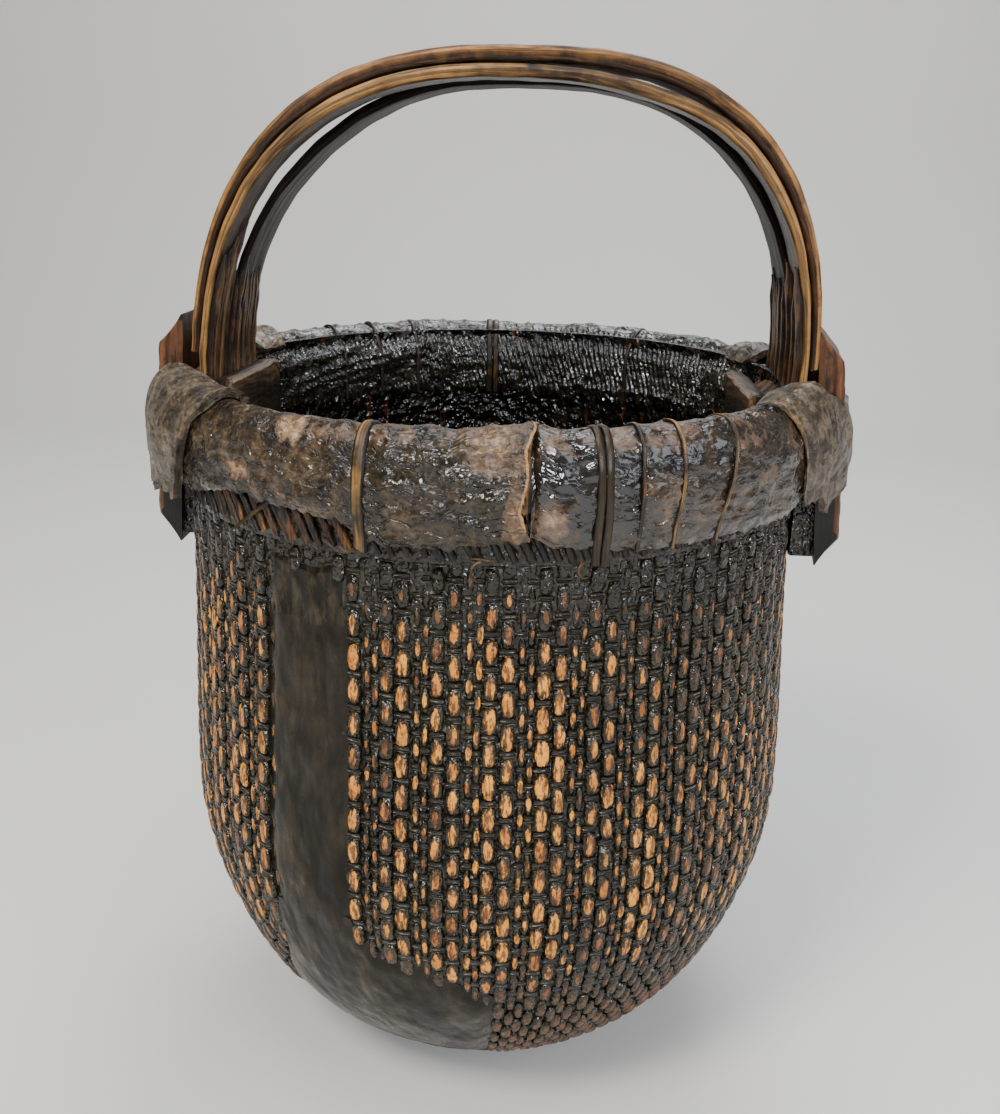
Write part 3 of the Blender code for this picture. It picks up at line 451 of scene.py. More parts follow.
@dataclass(frozen=True)
class BentWood(Finish):
    """Elm lath bent over steam, polished by hands on its corners and dark in its grain.

    The marks attribute paints it: red is hand-worn gold, on the bow's top edge also a painted highlight;
    green is charred dark, on the splints, board and inner lath also painted shade.
    """

    body: str = "#553a20"
    worn: str = "#b98b52"
    dark: str = "#1b120a"
    grain_mm: float = 1.1
    grain_length_mm: float = 46.0
    gloss: float = 0.38
    fibre: float = 0.6
    level: float = 0.35

    def draw(self, add: AddNode) -> dict[str, object]:
        """Draw the grain along the lath, its pores and the worn corners.

        Args:
            add: Adds a node and returns its output.

        Returns:
            The shader's sockets.
        """
        paint = add("SeparateXYZ", add("Attribute", attribute_name="marks", out="Vector")).node.outputs
        along = add("Attribute", attribute_name="along", out="Vector")
        run, fine = per_mm(self.grain_length_mm), per_mm(self.grain_mm)
        grain = add("TexNoise", add("Mapping", along, None, None, (run, fine * 0.5, 1.0)), 1.0, 6.0, 0.62)
        broad = add("Mapping", along, None, None, (run * 0.4, fine * 0.13, 1.0))
        bands = add("TexNoise", broad, 1.0, 4.0, 0.6)
        stain = add("TexNoise", add("TexCoord", out="Object"), per_mm(15.0), 6.0, 0.65)
        speck = add("Math", stain, 2.2, -1.1, operation="MULTIPLY_ADD")
        # Red mark: hand-worn gold, on the bow's top edge also a painted highlight.
        gold = add("MapRange", add("Math", speck, paint[0]), 0.20, 0.85)
        wood = add("Mix", gold, self.body, self.worn, data_type="RGBA")
        lines = add("MapRange", grain, 0.46, 0.60, 0.0, 0.90)
        lined = add("Mix", lines, wood, self.dark, data_type="RGBA")
        banded = add("Mix", add("MapRange", bands, 0.48, 0.62, 0.0, 0.80), lined, self.dark, data_type="RGBA")
        # Green mark: charred wood, and painted shade where pieces lie against each other.
        charred_and_painted_shade = add("MapRange", add("Math", speck, paint[1]), 0.35, 0.70)
        dips = add("Math", bands, -0.9, operation="MULTIPLY")
        height = add("Math", grain, -1.0, dips, operation="MULTIPLY_ADD")
        return {
            "Base Color": add("Mix", charred_and_painted_shade, banded, self.dark, data_type="RGBA"),
            "Roughness": add("MapRange", grain, 0.35, 0.7, self.gloss - 0.08, self.gloss + 0.2),
            "Specular IOR Level": self.level,
            "Normal": add("Bump", self.fibre, 0.0016, None, height),
        }


@dataclass(frozen=True)
class TroweledFloor(Finish):
    """Pale painted plaster: matt and all one tone, so that only the basket has texture."""

    paint: str = "#d9d7d2"

    def draw(self, add: AddNode) -> dict[str, object]:
        """Return the floor's one pale colour."""
        return {"Base Color": self.paint, "Roughness": 0.85}


@dataclass(frozen=True)
class BasketForm:
    """The basket's profile and rim section, on the sizes of the CAD part."""

    foot_radius: float = 0.052
    belly_radius: float = 0.1825
    belly_height: float = 0.168
    neck_radius: float = 0.1765
    neck_height: float = 0.345
    top_radius: float = 0.1735
    wall: float = 0.009
    rim_radius: float = 0.1945
    rim_width: float = 0.038
    rim_top: float = 0.418
    rim_height: float = 0.058
    hoop_bottom: float = 0.3817
    collar_bottom: float = 0.3514
    section: tuple[Place, ...] = (
        (0.91, 0.00), (0.99, 0.36), (1.00, 0.56), (0.93, 0.80), (0.80, 0.94),
        (0.62, 1.00), (0.36, 0.95), (0.10, 0.74), (0.03, 0.62), (0.03, 0.16),
    )
    hem_azimuths: tuple[float, ...] = (
        -68.0, -50.0, -37.0, -31.0, -23.5, -18.0, -15.0, -11.0, -3.0, 5.0, 9.0, 13.0, 19.0,
        27.0, 34.5, 47.0, 58.0, 68.0, 292.0,
    )
    hem_heights: tuple[float, ...] = (
        0.371, 0.368, 0.376, 0.376, 0.373, 0.372, 0.368, 0.3615, 0.3625, 0.366, 0.369, 0.3645,
        0.3620, 0.3605, 0.3605, 0.3605, 0.3605, 0.371, 0.371,
    )
    disc_reach: float = 0.052
    disc_swell: float = 0.040
    disc_azimuth: float = -27.0
    disc_width: float = 62.0
    tongue_azimuths: tuple[float, ...] = (
        -54.0, -48.0, -45.0, -38.0, -35.5, -19.3, -18.3, -15.8, -11.6, -6.8, -3.7, -1.3, 5.6, 6.6,
    )
    tongue_reaches: tuple[float, ...] = (
        0.070, 0.103, 0.127, 0.172, 0.210, 0.216, 0.206, 0.193, 0.1905, 0.189, 0.183, 0.177, 0.166, 0.156,
    )
    band_edges: Place = (-36.6, -18.4)

    def profile(self) -> np.ndarray:
        """Return rows of length, radius and height along the outside, from the foot up.

        Returns:
            The rows as an array.
        """
        rows = []
        for turn in np.linspace(0.0, math.pi / 2, 240):
            radius = self.foot_radius + (self.belly_radius - self.foot_radius) * math.sin(turn) ** 0.91
            rows.append((radius, self.belly_height * (1.0 - math.cos(turn) ** 1.19)))
        for height in np.linspace(self.belly_height, 0.4127, 200)[1:]:
            rows.append((self.wall_radius(height), height))
        points = np.array(rows)
        steps = np.hypot(*np.diff(points, axis=0).T)
        lengths = np.concatenate([[0.0], np.cumsum(steps)])
        return np.column_stack([lengths, points])

    def wall_radius(self, height: float) -> float:
        """Return the outer radius of the wall at a height above the belly.

        Args:
            height: Metres above the floor.

        Returns:
            The radius in metres.
        """
        if height < self.neck_height:
            rise = (height - self.belly_height) / (self.neck_height - self.belly_height)
            return self.belly_radius + (self.neck_radius - self.belly_radius) * ease(rise)
        rise = (height - self.neck_height) / (self.rim_top - self.neck_height)
        return self.neck_radius + (self.top_radius - self.neck_radius) * rise

    def disc_edge(self, azimuth: float) -> float:
        """Return how far up the profile the disc under the base reaches at an azimuth."""
        off = from_front(azimuth - self.disc_azimuth)
        return self.disc_reach + self.disc_swell * (1.0 - ease(abs(off) / self.disc_width))

    def tongue_edge(self, azimuth: float) -> float:
        """Return how far up the profile the patch's tongue reaches at an azimuth of the front."""
        return float(np.interp(azimuth, self.tongue_azimuths, self.tongue_reaches))

    def hem(self, azimuth: float) -> float:
        """Return the height of the rim wrap's outer hem at an azimuth."""
        around = (azimuth + 68.0) % 360.0 - 68.0
        return float(np.interp(around, self.hem_azimuths, self.hem_heights))


FORM = BasketForm()
PROFILE = FORM.profile()


def on_wall(azimuth: float, length: float, depth: float = 0.0) -> Vector:
    """Return a point of the wall.

    Args:
        azimuth: Degrees from the front.
        length: Metres up the profile.
        depth: Metres under the crowns of the weave.

    Returns:
        The point.
    """
    lengths, radii, heights = PROFILE.T
    radius, height = np.interp(length, lengths, radii), np.interp(length, lengths, heights)
    lean_r, lean_z = wall_lean(length)
    return polar(azimuth, float(radius - depth * lean_z), float(height + depth * lean_r))


def wall_lean(length: float) -> Place:
    """Return the unit direction of the profile, outwards and up, at a length.

    Args:
        length: Metres up the profile.

    Returns:
        Its share outwards and its share upwards.
    """
    lengths, radii, heights = PROFILE.T
    reach = 0.002
    rise_r = np.interp(length + reach, lengths, radii) - np.interp(length - reach, lengths, radii)
    rise_z = np.interp(length + reach, lengths, heights) - np.interp(length - reach, lengths, heights)
    scale = max(1e-9, math.hypot(rise_r, rise_z))
    return rise_r / scale, rise_z / scale


def length_at(height: float) -> float:
    """Return the length along the profile at which it reaches a height."""
    return float(np.interp(height, PROFILE[:, 2], PROFILE[:, 0]))


def radius_along(length: float) -> float:
    """Return the outer radius of the profile at a length along it."""
    return float(np.interp(length, PROFILE[:, 0], PROFILE[:, 1]))


def radius_at(height: float) -> float:
    """Return the outer radius of the profile at a height."""
    return float(np.interp(height, PROFILE[:, 2], PROFILE[:, 1]))


@dataclass
class Piece:
    """One visible piece: a mesh, its finish and the CAD nodes it stands for."""

    name: str
    slot: str
    nodes: tuple[str, ...] = ()

    def place(
        self, bm: Shape, material: Material, sharp: float = 50.0
    ) -> bpy.types.Object:
        """Turn a bmesh into the finished piece and tie it to the frame.

        Args:
            bm: The piece's shape, in its place.
            material: Its finish.
            sharp: The angle, in degrees, from which an edge stays crisp.

        Returns:
            The piece's object.
        """
        bmesh.ops.recalc_face_normals(bm, faces=bm.faces[:])
        mesh = bpy.data.meshes.new(self.name)
        bm.to_mesh(mesh)
        bm.free()
        mesh.shade_smooth()
        mesh.set_sharp_from_angle(angle=math.radians(sharp))
        mesh.materials.append(material)
        piece = bpy.data.objects.new(self.name, mesh)
        bpy.context.collection.objects.link(piece)
        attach(piece, "root")
        if self.nodes:
            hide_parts(*self.nodes)
        LOG.info("%s: %d faces", self.name, len(mesh.polygons))
        return piece


def sweep(rings: Sequence[Ring], marks: Callable[[int, int], Mark] | None = None) -> Shape:
    """Draw a section along a path by extruding it from ring to ring, its ends capped.

    Every vertex keeps how far along the sweep and round the section it lies in
    the attribute named along, and what paints it in the attribute named marks.

    Args:
        rings: The section's points at each station, in order.
        marks: Gives the paint of a station and a point of the section.

    Returns:
        The swept shape.
    """
    bm = bmesh.new()
    along = bm.verts.layers.float_vector.new("along")
    paint = bm.verts.layers.float_vector.new("marks")
    middles = [sum(ring, Vector()) / len(ring) for ring in rings]
    run = 0.0
    verts = [bm.verts.new(point) for point in rings[0]]
    edges = [bm.edges.new(pair) for pair in zip(verts, verts[1:] + verts[:1])]
    first_edges = edges
    for station, ring in enumerate(rings):
        if station:
            made = bmesh.ops.extrude_edge_only(bm, edges=edges)["geom"]
            edges = [item for item in made if isinstance(item, bmesh.types.BMEdge)]
            new = {item for item in made if isinstance(item, bmesh.types.BMVert)}
            verts = [next(e.other_vert(v) for e in v.link_edges if e.other_vert(v) in new) for v in verts]
            edges = [bm.edges.get(pair) for pair in zip(verts, verts[1:] + verts[:1])]
            run += (middles[station] - middles[station - 1]).length
        round_run = 0.0
        for place, (vert, point) in enumerate(zip(verts, ring)):
            vert.co = point
            if place:
                round_run += (point - ring[place - 1]).length
            vert[along] = (run, round_run, 0.0)
            if marks:
                vert[paint] = marks(station, place)
    bmesh.ops.edgeloop_fill(bm, edges=first_edges)
    bmesh.ops.edgeloop_fill(bm, edges=edges)
    return bm


def add_part(bm: Shape, part: Shape) -> None:
    """Move a part's shape into a larger mesh and free it.

    Args:
        bm: The larger mesh.
        part: The part.
    """
    mesh = bpy.data.meshes.new("part")
    part.to_mesh(mesh)
    part.free()
    bm.from_mesh(mesh)
    bpy.data.meshes.remove(mesh)


def spin_round(bm: Shape, line: Iterable[Sequence[float]], weld: float) -> None:
    """Spin a line of points a full turn round the axis and weld what meets.

    Args:
        bm: Takes the shape.
        line: The points, from the axis out and back to it.
        weld: How near two points have to be to become one.
    """
    verts = [bm.verts.new(point) for point in line]
    edges = [bm.edges.new(pair) for pair in zip(verts, verts[1:])]
    bmesh.ops.spin(
        bm, geom=verts + edges, cent=(0.0, 0.0, 0.0), axis=(0.0, 0.0, 1.0), angle=2.0 * math.pi,
        steps=TURN_STEPS, use_merge=True, use_duplicate=False,
    )
    bmesh.ops.remove_doubles(bm, verts=bm.verts[:], dist=weld)


def smooth_line(points: Sequence[Place], rounds: int = 3) -> list[Place]:
    """Round a line's corners off by cutting them again and again, its ends held.

    Args:
        points: The line's corners.
        rounds: How often they are cut.

    Returns:
        The rounder line.
    """
    line = [tuple(point) for point in points]
    for _ in range(rounds):
        cut = [line[0]]
        for (a, b), (c, d) in zip(line, line[1:]):
            cut.append((a * 0.75 + c * 0.25, b * 0.75 + d * 0.25))
            cut.append((a * 0.25 + c * 0.75, b * 0.25 + d * 0.75))
        cut.append(line[-1])
        line = cut
    return line


def even_line(points: Sequence[Place], count: int) -> list[Place]:
    """Return a number of points spaced evenly along a line.

    Args:
        points: The line.
        count: How many points to return.

    Returns:
        The points.
    """
    array = np.array(points)
    lengths = np.concatenate([[0.0], np.cumsum(np.hypot(*np.diff(array, axis=0).T))])
    where = np.linspace(0.0, lengths[-1], count)
    return list(zip(np.interp(where, lengths, array[:, 0]), np.interp(where, lengths, array[:, 1])))


@dataclass
class WovenWall:
    """The willow stakes and hemp cords of the wall, and the shell they sit in."""

    groups: int = GROUPS
    first_azimuth: float = 4.23
    stake_shares: tuple[float, ...] = (0.0, 0.322, 0.597, 0.766)
    pitch: float = COURSE
    sectors: int = 8
    shell_depth: float = 0.0032
    stake: LacqueredStake = LacqueredStake("willow_under_worn_black_lacquer")
    cord: HempCord = HempCord("hemp_cord_in_black_lacquer")
    shell: PitchLacquer = PitchLacquer("pooled_black_lacquer")
    # Inside of the basket: black lacquer, its tones darkened further as painted shade inside the basket.
    inside: PitchLacquer = PitchLacquer(
        "inner_weave_black_lacquer", deep="#0b0905", dust="#1f1b11", ember="#7a3f15", ember_share=0.5,
        lump_mm=3.6, gloss=0.14,
    )

    def build(self) -> None:
        """Build the shell, the stakes' beads and the cords between them."""
        self.build_shell()
        stake, cord = self.stake.make(), self.cord.make()
        beads: list[list[tuple]] = [[] for _ in range(self.sectors)]
        ties: list[list[tuple]] = [[] for _ in range(self.sectors)]
        for column in range(4 * self.groups):
            sector = column * self.sectors // (4 * self.groups)
            self.plan_column(column, beads[sector], ties[sector])
        for sector in range(self.sectors):
            name = f"stakes_sector_{sector + 1}"
            Piece(name, "woven_willow").place(self.repeat(beads[sector], 2), stake, 180.0)
            name = f"cords_sector_{sector + 1}"
            Piece(name, "woven_willow").place(self.repeat(ties[sector], 1), cord, 180.0)

    def column_azimuth(self, column: int, length: float) -> float:
        """Return a stake's azimuth, which wanders a little as it rises.

        Args:
            column: The stake's number round the wall.
            length: Metres up the profile.

        Returns:
            Degrees from the front.
        """
        group, index = divmod(column, 4)
        pitch = 360.0 / self.groups
        radius = radius_along(length)
        even = ease((0.174 - radius) / 0.045) * 0.85
        share = self.stake_shares[index] * (1.0 - even) + index / 4.0 * even
        base = self.first_azimuth + (group + share) * pitch
        wander = drift(column * 0.9, length / 0.07, 3.0)
        return base + wander * 0.0006 / radius * RADIAN

    def wear(self, azimuth: float, length: float, height: float, slim: bool) -> float:
        """Return how far a crown is worn through: none at the neck, full at the belly.

        Args:
            azimuth: Degrees from the front.
            length: Metres up the profile.
            height: Its height.
            slim: Whether the stake is a slim one.

        Returns:
            The wear, from 0 to 1.15.
        """
        around = from_front(azimuth)
        start = 0.352 + 0.020 * drift(azimuth / 7.0, 4.0, 0.0)
        neck = ease((start - height) / 0.060)
        foot = ease((height - 0.088) / 0.050)
        patchy = drift(azimuth / 9.0, length / 0.050, 7.0)
        speck = drift(azimuth / 1.3, length / 0.011, 17.0)
        worn = neck * (0.26 + 0.74 * foot) * (0.86 + 0.42 * patchy + 0.42 * speck)
        shoulder = ease((around - 20.0) / 12.0) * ease((75.0 - around) / 12.0) * ease((height - 0.215) / 0.06)
        beside_band = ease((around + 19.0) / 3.0) * ease((-7.0 - around) / 6.0) * ease((height - 0.06) / 0.05)
        right = ease((around - 22.0) / 25.0) * ease((110.0 - around) / 20.0)
        worn *= (1.0 - 0.50 * shoulder) * (1.0 - 0.35 * beside_band) * (1.0 - 0.16 * right)
        if slim:
            worn *= 0.86 + 0.45 * drift(azimuth / 2.1, length / 0.012, 31.0)
        return max(0.0, min(1.15, worn))

    def buried(self, azimuth: float, length: float) -> float:
        """Return how far inside the edge of the band or patch a place lies.

        Args:
            azimuth: Degrees from the front.
            length: Metres up the profile.

        Returns:
            The distance in metres, below zero where the weave is bare.
        """
        around = from_front(azimuth)
        degree = math.radians(radius_along(length))
        first, last = FORM.band_edges
        left, right = FORM.tongue_azimuths[0], FORM.tongue_azimuths[-1]
        band = min((around - first) * degree, (last - around) * degree, length_at(0.342) - length)
        tongue = min((around - left) * degree, (right - around) * degree, FORM.tongue_edge(around) - length)
        waver = 0.0022 * drift(length / 0.013, around / 5.0, 2.0)
        return max(band, tongue, FORM.disc_edge(azimuth) - length) + waver

    def plan_column(self, column: int, beads: list[tuple], ties: list[tuple]) -> None:
        """Plan one stake's crowns and the cords that bind it.

        Args:
            column: The stake's number round the wall.
            beads: Takes each crown's matrix, reach and tone.
            ties: Takes each cord's matrix, reach and tone.
        """
        kind = Stake.BROAD if column % 4 < 2 else Stake.SLIM
        slim = kind is Stake.SLIM
        phase = 0.5 * (column % 2)
        around = from_front(self.column_azimuth(column, 0.2))
        last = length_at(FORM.collar_bottom + (0.012 if -12.0 < around < 62.0 else 0.004))
        grown = 0.93 + 0.14 * drift(column * 3.1, 0.0, 9.0)
        for row in range(int(last / self.pitch) + 1):
            length = (row + phase) * self.pitch
            middle = self.column_azimuth(column, length)
            inside = self.buried(middle, length)
            if length > last or inside > 0.011:
                continue
            bury = ease((inside + 0.002) / 0.012)
            point = on_wall(middle, length)
            radius = math.hypot(point.x, point.y)
            even = ease((0.1815 - radius) / 0.032)
            room = 2.0 * math.pi * radius / (4 * self.groups)
            width = (kind.value[0] * grown * radius / 0.18) * (1.0 - even) + room * 1.16 * even
            worn = self.wear(middle, length, point.z, slim)
            worn *= 1.0 + 0.45 * drift(column * 1.71, 3.0, 12.0)
            worn *= 1.0 - 0.75 * bury
            tone = max(0.0, min(1.0, 0.74 * worn + 0.50 * drift(column * 1.37, row * 2.13, 5.0)))
            tone *= 0.25 + 0.75 * ease((point.z - 0.080) / 0.045)
            dust = (0.5 + 0.6 * noise.noise(point * 25.0)) * (1.0 - 0.5 * ease((point.z - 0.27) / 0.05))
            tall = self.pitch * (0.47 if slim else 0.450)
            lumpy = ease((point.z - 0.285) / 0.035) * drift(column * 4.7, row * 5.9, 8.0)
            thick = 0.0026 if slim else 0.0030
            half = Vector((width * (0.52 + 0.10 * lumpy), tall * (1.0 + 0.22 * lumpy), thick))
            sink = (0.0036 * (1.0 - 0.4 * even) if slim else 0.0028) + 0.0026 * bury + 0.0009 * lumpy
            bare = (0.52 + 0.25 * even) if slim else 0.92
            reach = (0.18 + 0.62 * worn, bare * (0.30 + 0.68 * worn))
            pebble = even * (1.0 - bury)
            if worn < 0.12:
                reach = (0.02, 0.02)
            reach = (reach[0] + (0.80 - reach[0]) * pebble, reach[1] + (0.78 - reach[1]) * pebble)
            tone = max(tone, pebble * (0.16 + 0.16 * drift(column * 2.3, row * 3.7, 6.0)))
            rounding = kind.value[1] * (1.0 - even) + 0.98 * even
            beads.append((self.seat(column, row, length, sink, half), reach, (tone, dust, 0.0), rounding))
            tie_length = length + self.pitch / 2.0
            if tie_length < last and even < 0.45 and bury < 0.5:
                flat = Vector((width * (0.66 if slim else 0.60), 0.0021, 0.0020))
                seat = self.seat(column, row, tie_length, 0.0034 if slim else 0.0028, flat)
                ties.append((seat, (1.0, 1.0), (tone, dust, 0.0), 0.55))

    def seat(self, column: int, row: int, length: float, sink: float, half: Vector) -> Matrix:
        """Return the matrix that seats a crown or cord on the wall.

        Args:
            column: The stake's number.
            row: The course's number.
            length: Where it lies along the profile.
            sink: How deep its middle lies under the crowns.
            half: Its half sizes across, along and outwards.

        Returns:
            A matrix from a cube of half size one to its place.
        """
        jog = Vector((drift(column * 7.7, row * 3.3, 1.0), drift(column * 2.9, row * 8.1, 2.0)))
        azimuth = self.column_azimuth(column, length) + jog.x * 0.0005 / 0.18 * RADIAN
        middle = on_wall(azimuth, length + jog.y * 0.0009, sink)
        lean_r, lean_z = wall_lean(length)
        turn = math.radians(azimuth)
        across = Vector((math.cos(turn), math.sin(turn), 0.0))
        up = Vector((lean_r * math.sin(turn), -lean_r * math.cos(turn), lean_z))
        out = across.cross(up)
        tilt = 0.05 * drift(column * 5.5, row * 1.9, 3.0)
        across, up = across + up * tilt, up - across * tilt
        columns = (across * half.x, up * half.y, out * half.z, middle)
        return Matrix([[v[i] for v in columns] for i in range(3)] + [[0.0, 0.0, 0.0, 1.0]])

    def repeat(self, plans: Iterable[tuple], cuts: int) -> Shape:
        """Build one small rounded body for each plan, all in one mesh.

        Args:
            plans: Matrix, reach, tone and rounding of each body.
            cuts: How often each side of its cube is cut: a few dozen faces.

        Returns:
            The mesh of all of them.
        """
        proto = self.prototype(cuts)
        count = len(proto.vertices)
        bm = bmesh.new()
        spot = bm.verts.layers.float_vector.new("crown_place")
        shade = bm.verts.layers.float_vector.new("stake_tone")
        for matrix, reach, tone, rounding in plans:
            bm.from_mesh(proto)
            bm.verts.ensure_lookup_table()
            for vert in bm.verts[-count:]:
                local = vert.co.lerp(vert.co.normalized(), rounding)
                vert[spot] = (local.x / reach[0], local.y / reach[1], local.z)
                vert[shade] = tone
                vert.co = matrix @ local
        bpy.data.meshes.remove(proto)
        return bm

    def prototype(self, cuts: int) -> bpy.types.Mesh:
        """Return a cube of half size one, each side cut a number of times.

        Args:
            cuts: How often each side is cut.

        Returns:
            The cube's mesh.
        """
        bm = bmesh.new()
        bmesh.ops.create_cube(bm, size=2.0)
        bmesh.ops.subdivide_edges(bm, edges=bm.edges[:], cuts=cuts, use_grid_fill=True)
        mesh = bpy.data.meshes.new("prototype")
        bm.to_mesh(mesh)
        bm.free()
        return mesh

    def build_shell(self) -> None:
        """Build the lumpy lacquered shell under the stakes, and the inside of the basket, whose finish is
        darkened as painted shade.
        """
        pooled = length_at(0.285)
        outside = [
            (length, self.shell_depth - 0.0013 * ease((length - pooled) / 0.050))
            for length in np.linspace(0.004, PROFILE[-1, 0], 110)
        ]
        lowest = length_at(FORM.wall)
        inside = [(length, FORM.wall) for length in np.linspace(PROFILE[-1, 0], lowest, 70)]
        lines = []
        for length, depth in outside + inside:
            point = on_wall(0.0, length, depth)
            lines.append(Vector((0.0, point.y, max(point.z, 0.0012 if depth < FORM.wall else FORM.wall))))
        lines.insert(0, Vector((0.0, 0.0, 0.0012)))
        lines.append(Vector((0.0, 0.0, FORM.wall)))
        bm = bmesh.new()
        spin_round(bm, lines, 0.00002)
        for vert in bm.verts:
            flat = Vector((vert.co.x, vert.co.y, 0.0))
            if flat.length > 0.02 and vert.co.z > 0.012:
                inner = flat.length < radius_at(vert.co.z) - 0.0065
                size = 0.0012 if inner else 0.0004
                stake = math.cos(math.atan2(vert.co.x, -vert.co.y) * GROUPS * 2) if inner else 0.0
                vert.co += flat.normalized() * (ripple(vert.co, 0.012, 4.0) * size - 0.0008 * abs(stake))
        piece = Piece("wall_shell", "woven_willow", ("woven_body",)).place(bm, self.shell.make(), 60.0)
        # The inside faces take the darker finish: black lacquer plus painted shade.
        piece.data.materials.append(self.inside.make())
        for polygon in piece.data.polygons:
            middle = polygon.center
            if math.hypot(middle.x, middle.y) < radius_at(middle.z) - 0.0062 and middle.z > 0.006:
                polygon.material_index = 1


@dataclass
class HideInlay:
    """The smooth band up the left front and the patch under the base."""

    skin: LacqueredHide = LacqueredHide(
        "smooth_hide_inlay", tones=("#0e0c06", "#18140b", "#1e1a10", "#262015", "#382f1e"),
        gloss_deep="#0e0c06", mottle_mm=24.0, speck_mm=6.0, pore_mm=1.6, crack_mm=60.0, swell_mm=12.0,
        pulled=0.0, swollen=1.6, streak=0.4, cracked=0.08, gritty=0.06, level=0.22, bump=0.6, roughness=0.36,
    )

    def build(self) -> None:
        """Build the band and the patch as one skin each."""
        skin = self.skin.make()
        Piece("hide_band", "black_lacquer_hide", ("side_band",)).place(self.band(), skin, 60.0)
        Piece("hide_tongue", "black_lacquer_hide").place(self.tongue(), skin, 60.0)
        Piece("hide_base", "black_lacquer_hide", ("base_patch",)).place(self.base(), skin, 60.0)

    def lift(self, azimuth: float, length: float) -> float:
        """Return how deep the skin lies: it dips and swells over the weave under it.

        Args:
            azimuth: Degrees from the front.
            length: Metres up the profile.

        Returns:
            The depth under the crowns, in metres.
        """
        point = on_wall(azimuth, length)
        columns = math.cos(math.radians(azimuth) * GROUPS * 2.0) * 0.5
        rows = math.cos(length / COURSE * 2.0 * math.pi)
        under = 0.00022 * columns * rows
        return 0.0006 + under - 0.0008 * ripple(point, 0.045, 2.0) - 0.0003 * ripple(point, 0.012, 5.0)

    def band(self) -> Shape:
        """Sweep the band from edge to edge, its edges wavering with the weave.

        Returns:
            The shape.
        """
        first, last = FORM.band_edges
        rings = []
        azimuths = np.linspace(first, last, 30)
        for index, azimuth in enumerate(azimuths):
            share = index / (len(azimuths) - 1)
            top = length_at(0.3445 + 0.0012 * math.sin(share * 9.0))
            low = FORM.tongue_edge(azimuth) - 0.012
            outer, inner = [], []
            for length in np.linspace(low, top, 120):
                waver = 1.3 * drift(length / 0.021, 8.0 + round(share), 0.0) * (share - 0.5) * 2.0
                edge = ease(min(share, 1.0 - share) * 5.0)
                tall = ease((top - length) / 0.004)
                depth = self.lift(azimuth, length) + 0.0025 * (1.0 - edge * tall)
                outer.append(on_wall(azimuth + waver, length, depth))
                inner.append(on_wall(azimuth + waver, length, 0.0042))
            rings.append(outer + inner[::-1])
        return sweep(rings, lambda station, place: (0.0, 0.0, 0.5 if 100 < place < 120 else 0.12))

    def tongue(self) -> Shape:
        """Sweep the tongue of the patch that runs up under the band, its edge sinking in.

        Returns:
            The shape.
        """
        first, last = FORM.tongue_azimuths[0], FORM.tongue_azimuths[-1]
        rings = []
        azimuths = np.linspace(first, last, 76)
        for index, azimuth in enumerate(azimuths):
            share = index / (len(azimuths) - 1)
            top = FORM.tongue_edge(azimuth) + 0.0022 * drift(azimuth / 2.2, 6.0, 1.0)
            in_band = FORM.band_edges[0] < azimuth < FORM.band_edges[1]
            outer, inner = [], []
            for length in np.linspace(0.045, top, 90):
                side = ease(min(share * 14.0, (1.0 - share) * 13.0))
                tall = 1.0 if in_band else ease((top - length) / 0.013)
                waver = 1.3 * drift(length / 0.012, 3.0, 0.0) * ease((share - 0.88) * 8.0)
                depth = self.lift(azimuth, length) + 0.0004 + 0.0019 * (1.0 - side * tall)
                outer.append(on_wall(azimuth + waver, length, depth))
                inner.append(on_wall(azimuth + waver, length, 0.0044))
            rings.append(outer + inner[::-1])
        return sweep(rings, lambda station, place: (0.0, 0.0, 0.10))

    def base(self) -> Shape:
        """Build the patch: a disc of rings spun flat, then drawn up to its edge.

        Returns:
            The shape.
        """
        bm = bmesh.new()
        along = bm.verts.layers.float_vector.new("along")
        paint = bm.verts.layers.float_vector.new("marks")
        rows = 40
        lower = [(0.0, -index / rows, 0.0) for index in range(rows + 1)]
        upper = [(0.0, -index / rows, 1.0) for index in range(rows, -1, -1)]
        spin_round(bm, lower + upper, 0.0001)
        for vert in bm.verts:
            share = math.hypot(vert.co.x, vert.co.y)
            azimuth = math.degrees(math.atan2(vert.co.x, -vert.co.y))
            edge = FORM.disc_edge(azimuth) + 0.004 * drift(azimuth / 7.0, 0.0, 1.0)
            length = edge * share
            rise = ease((1.0 - share) * 12.0)
            depth = self.lift(azimuth, length) + 0.0018 * (1.0 - rise) if vert.co.z < 0.5 else 0.0042
            point = on_wall(azimuth, length, depth)
            if share < 0.5:
                flat = polar(azimuth, FORM.foot_radius * min(1.0, share * 3.0), 0.0)
                point = flat.lerp(point, ease((share - 0.05) / 0.3)) if vert.co.z < 0.5 else point
                point.z = max(point.z, 0.0) if vert.co.z < 0.5 else max(point.z, 0.003)
                if vert.co.z > 0.5 and share < 0.34:
                    point = polar(azimuth, FORM.foot_radius * share * 3.0, 0.003)
            vert.co = point
            vert.co.z = max(0.0, vert.co.z)
            vert[along] = (math.radians(azimuth) * 0.1, length, 0.0)
            vert[paint] = (0.0, 0.0, 0.0)
        return bm


